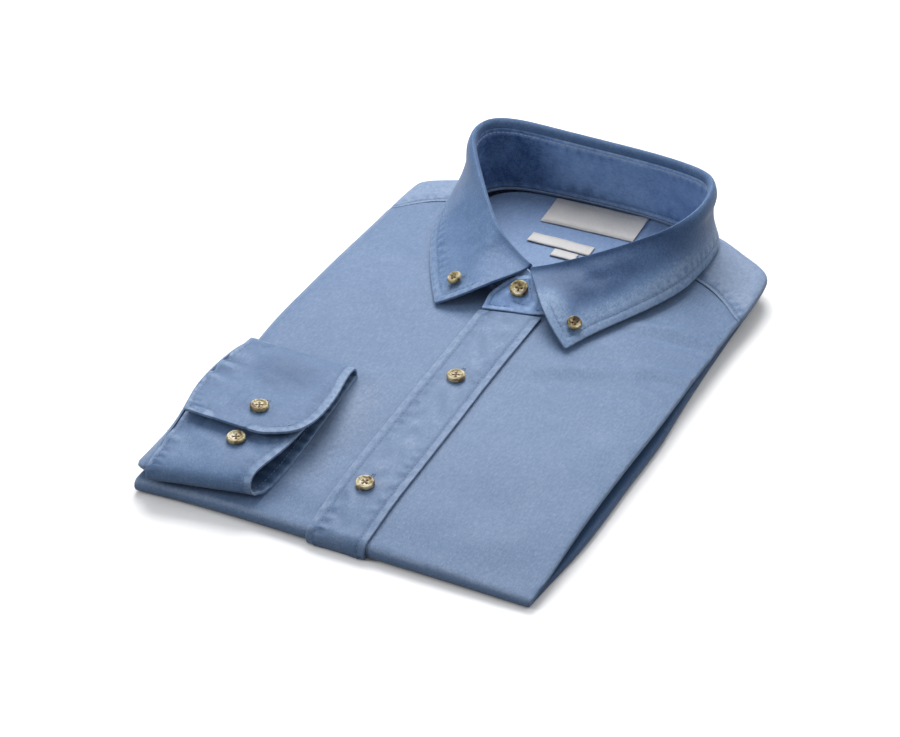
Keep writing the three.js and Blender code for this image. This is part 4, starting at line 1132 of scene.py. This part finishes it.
def button_blank(name, radius, height):
    """The button before its holes: a profile in millimetres, spun round."""
    disc = bmesh.new()
    profile = [
        (0.0, 0.0),
        (radius - 1.5, 0.0),
        (radius - 0.35, 0.4),
        (radius, 1.15),
        (radius - 0.05, height - 0.9),
        (radius - 0.35, height - 0.25),
        (radius - 0.85, height),
        (radius - 1.35, height - 0.1),
        (radius - 1.95, height - 0.5),
        (radius - 2.8, height - 0.75),
        (0.0, height - 0.8),
    ]
    corners = [disc.verts.new((r * MM, 0.0, z * MM)) for r, z in profile]
    edges = [disc.edges.new(pair) for pair in zip(corners[:-1], corners[1:])]
    bmesh.ops.spin(
        disc,
        geom=corners + edges,
        cent=(0, 0, 0),
        axis=(0, 0, 1),
        angle=2 * math.pi,
        steps=40,
        use_merge=True,
    )
    bmesh.ops.remove_doubles(disc, verts=disc.verts, dist=0.00001)
    return piece_of(name, disc)


def hole_way(k):
    """The way from the button's middle to hole k."""
    angle = math.pi / 4 + k * math.pi / 2
    return Vector((math.cos(angle), math.sin(angle), 0))


def button_disc(name, radius, height, spread):
    """A button lying flat, its holes spread millimetres from its middle."""
    piece = button_blank(name, radius, height)
    drills = bmesh.new()
    for k in range(HOLES):
        bmesh.ops.create_cone(
            drills,
            cap_ends=True,
            segments=12,
            radius1=HOLE_RADIUS * MM,
            radius2=HOLE_RADIUS * MM,
            depth=3 * height * MM,
            matrix=Matrix.Translation((hole_way(k) * spread + Vector((0, 0, height / 2))) * MM),
        )
    drill = piece_of("drill", drills)
    cut = piece.modifiers.new("holes", "BOOLEAN")
    cut.operation = "DIFFERENCE"
    cut.solver = "EXACT"
    cut.object = drill
    bored = bpy.data.meshes.new_from_object(piece.evaluated_get(bpy.context.evaluated_depsgraph_get()))
    piece.modifiers.clear()
    piece.data = bored
    bpy.data.objects.remove(drill)
    bored.shade_smooth()
    return piece


# %% Buttons
BUTTONS = {
    # node: (finish, slant of the holes in degrees)
    "button_front_lower": (PALE_HORN, 20),
    "button_front_upper": (PALE_HORN, 65),
    "button_cuff_overlap": (PALE_HORN, 38),
    "button_cuff_under": (PALE_HORN, 80),
    "button_collar": (DARK_HORN, 45),
    "button_point_left": (DARK_HORN, 30),
    "button_point_right": (DARK_HORN, 75),
}


def cross_thread(placed, up, spread, height):
    """Two pairs of threads that cross between the four holes."""
    cross = bmesh.new()
    top = Vector((0, 0, height - 0.75)) * MM
    for k in range(2):
        way = hole_way(k)
        side = Vector((-way.y, way.x, 0)) * 0.2 * MM
        reach = way * (spread + 0.2) * MM
        for shift in (side, -side):
            ends = [placed @ (shift + top + out) for out in (-reach, reach)]
            add_thread(cross, *ends, up, 0.42, 0.62)
    return cross


seats = {}
for node, (finish, slant) in BUTTONS.items():
    base, up, radius, height = button_seat(node)
    seats[node] = (base, up)
    spread = 0.29 * radius
    disc = button_disc(f"{node}_disc", radius, height, spread)
    stand_up = up.to_track_quat("Z", "Y").to_matrix().to_4x4()
    placed = Matrix.Translation(base) @ stand_up @ Matrix.Rotation(math.radians(slant), 4, "Z")
    disc.data.transform(placed)
    disc.data.update()
    dress(disc, finish, node)
    cross = cross_thread(placed, up, spread, height)
    dress(piece_of(f"{node}_thread", cross), BROWN_THREAD)
    print(node, "radius", round(radius, 2), "mm")

# %% [markdown]
# ## The buttonholes
# A buttonhole is a slit between two rows of close stitches, with a bar across each end. The
# button is pulled to one end of it, so most of it lies under the button and only its far end
# shows.

# %% Buttonholes
BUTTONHOLES = {
    # node: (cloth, way across the garment, reach behind and ahead of the button in mm)
    "button_front_lower": (placket, (0.0, 1.0), 5.0, 10.4),
    "button_front_upper": (placket, (0.0, 1.0), 5.0, 10.4),
    "button_cuff_overlap": (cuff, (0.1, 1.0), 5.0, 9.6),
    "button_point_left": (leaf, (0.45, -0.9), 5.4, 4.6),
    "button_point_right": (leaf, (-0.5, -0.85), 5.4, 4.6),
}
SLIT_HALF = 0.3
STITCH_END = 1.25
BAR_HALF = 1.3


def buttonhole(surface, base, up, way, behind, ahead):
    """Two rows of close stitches along way, and a bar of three threads across each end."""
    way = Vector((*way, 0)).normalized()
    way = (way - up * way.dot(up)).normalized()
    side = up.cross(way)
    lift = up * 3 * MM

    def on_cloth(along, across):
        start = base + way * along * MM + side * across * MM + lift
        hit, _, _, _ = surface.ray_cast(start, -up, 9 * MM)
        return hit if hit is not None else start - lift

    rows = bmesh.new()
    for along in np.arange(-behind, ahead, 0.46):
        for sign in (-1, 1):
            inner = on_cloth(along, sign * SLIT_HALF)
            add_thread(rows, inner, on_cloth(along + 0.15, sign * STITCH_END), up, 0.44, 0.5)
    for end in (-behind - 0.3, ahead + 0.3):
        for k in range(3):
            along = end + 0.35 * (k - 1)
            add_thread(rows, on_cloth(along, -BAR_HALF), on_cloth(along, BAR_HALF), up, 0.44, 0.6)
    return rows


for node, (cloth, way, behind, ahead) in BUTTONHOLES.items():
    rows = buttonhole(surface_of(cloth), *seats[node], way, behind, ahead)
    thread = PALE_THREAD if cloth is not leaf else COLLAR_THREAD
    dress(piece_of(f"{node}_hole", rows), thread)
print("buttonholes:", len(BUTTONHOLES))

# %% [markdown]
# ## Sheets of cloth
# A cutter starts from flat cloth. No sheet is declared here; the two cells below only print how
# many sheets there are.

# %% Sheets of the body
print("sheets of the body: 5, not declared")

# %% Sheets of the collar, the cuff and the labels
print("sheets of the collar, the cuff and the labels: 6, not declared")

# %% [markdown]
# ## Floor and light
# The shirt lies on a pale floor under soft light. The large light stands behind on the left, so
# the collar's right side, the cuff's end and the gap between the folds fall into shade. The sky is
# bright overhead and dark at the horizon, and the floor sends no light up onto the cloth.

# %% Floor
floor_mesh = bmesh.new()
bmesh.ops.create_grid(floor_mesh, x_segments=2, y_segments=2, size=6.0)
floor = piece_of("floor", floor_mesh)
floor_look = Recipe("floor_paper")
grain = floor_look.noise(40.0, 2.0)
floor_look.link(
    floor_look.ramp(grain, [(0.3, (0.86, 0.86, 0.865)), (0.7, (0.885, 0.885, 0.89))]),
    floor_look.shader.inputs["Base Color"],
)
floor_look.set(Roughness=0.95)
floor.data.materials.append(floor_look.material)
floor.visible_diffuse = False
print("floor:", floor.name)

# %% Sky
SKY = [(0.44, 0.0), (0.5, 0.17), (0.75, 0.55), (1.0, 0.95)]
world = bpy.data.worlds.new("studio")
bpy.context.scene.world = world
world.use_nodes = True
sky = world.node_tree
sky_way = sky.nodes.new("ShaderNodeTexCoord")
sky_height = sky.nodes.new("ShaderNodeSeparateXYZ")
sky_half = sky.nodes.new("ShaderNodeMath")
sky_half.operation = "MULTIPLY_ADD"
sky_half.inputs[1].default_value = 0.5
sky_half.inputs[2].default_value = 0.5
sky_ramp = sky.nodes.new("ShaderNodeValToRGB")
while len(sky_ramp.color_ramp.elements) < len(SKY):
    sky_ramp.color_ramp.elements.new(0.5)
for element, (height, light) in zip(sky_ramp.color_ramp.elements, SKY):
    element.position = height
    element.color = (0.97 * light, 0.98 * light, light, 1.0)
sky.links.new(sky_way.outputs["Generated"], sky_height.inputs[0])
sky.links.new(sky_height.outputs["Z"], sky_half.inputs[0])
sky.links.new(sky_half.outputs[0], sky_ramp.inputs["Fac"])
sky.links.new(sky_ramp.outputs["Color"], sky.nodes["Background"].inputs["Color"])
print("sky stops:", len(SKY))


# %% Lights
def softbox(name, where, width, power):
    """A round soft light that looks at the shirt."""
    data = bpy.data.lights.new(name, "AREA")
    data.shape = "DISK"
    data.size = width
    data.energy = power
    box = bpy.data.objects.new(name, data)
    bpy.context.scene.collection.objects.link(box)
    box.location = where
    box.rotation_mode = "QUATERNION"
    box.rotation_quaternion = (Vector((0, 0, 0.02)) - Vector(where)).to_track_quat("-Z", "Y")
    print(name, power, "W")


softbox("key_light", (-0.4, 0.72, 1.05), 1.0, 21.0)
softbox("left_fill", (-1.45, -1.2, 0.92), 0.6, 12.0)
softbox("right_fill", (1.65, 0.85, 0.85), 0.6, 5.5)
bpy.context.scene.view_settings.view_transform = "Standard"
bpy.context.scene.view_settings.look = "None"
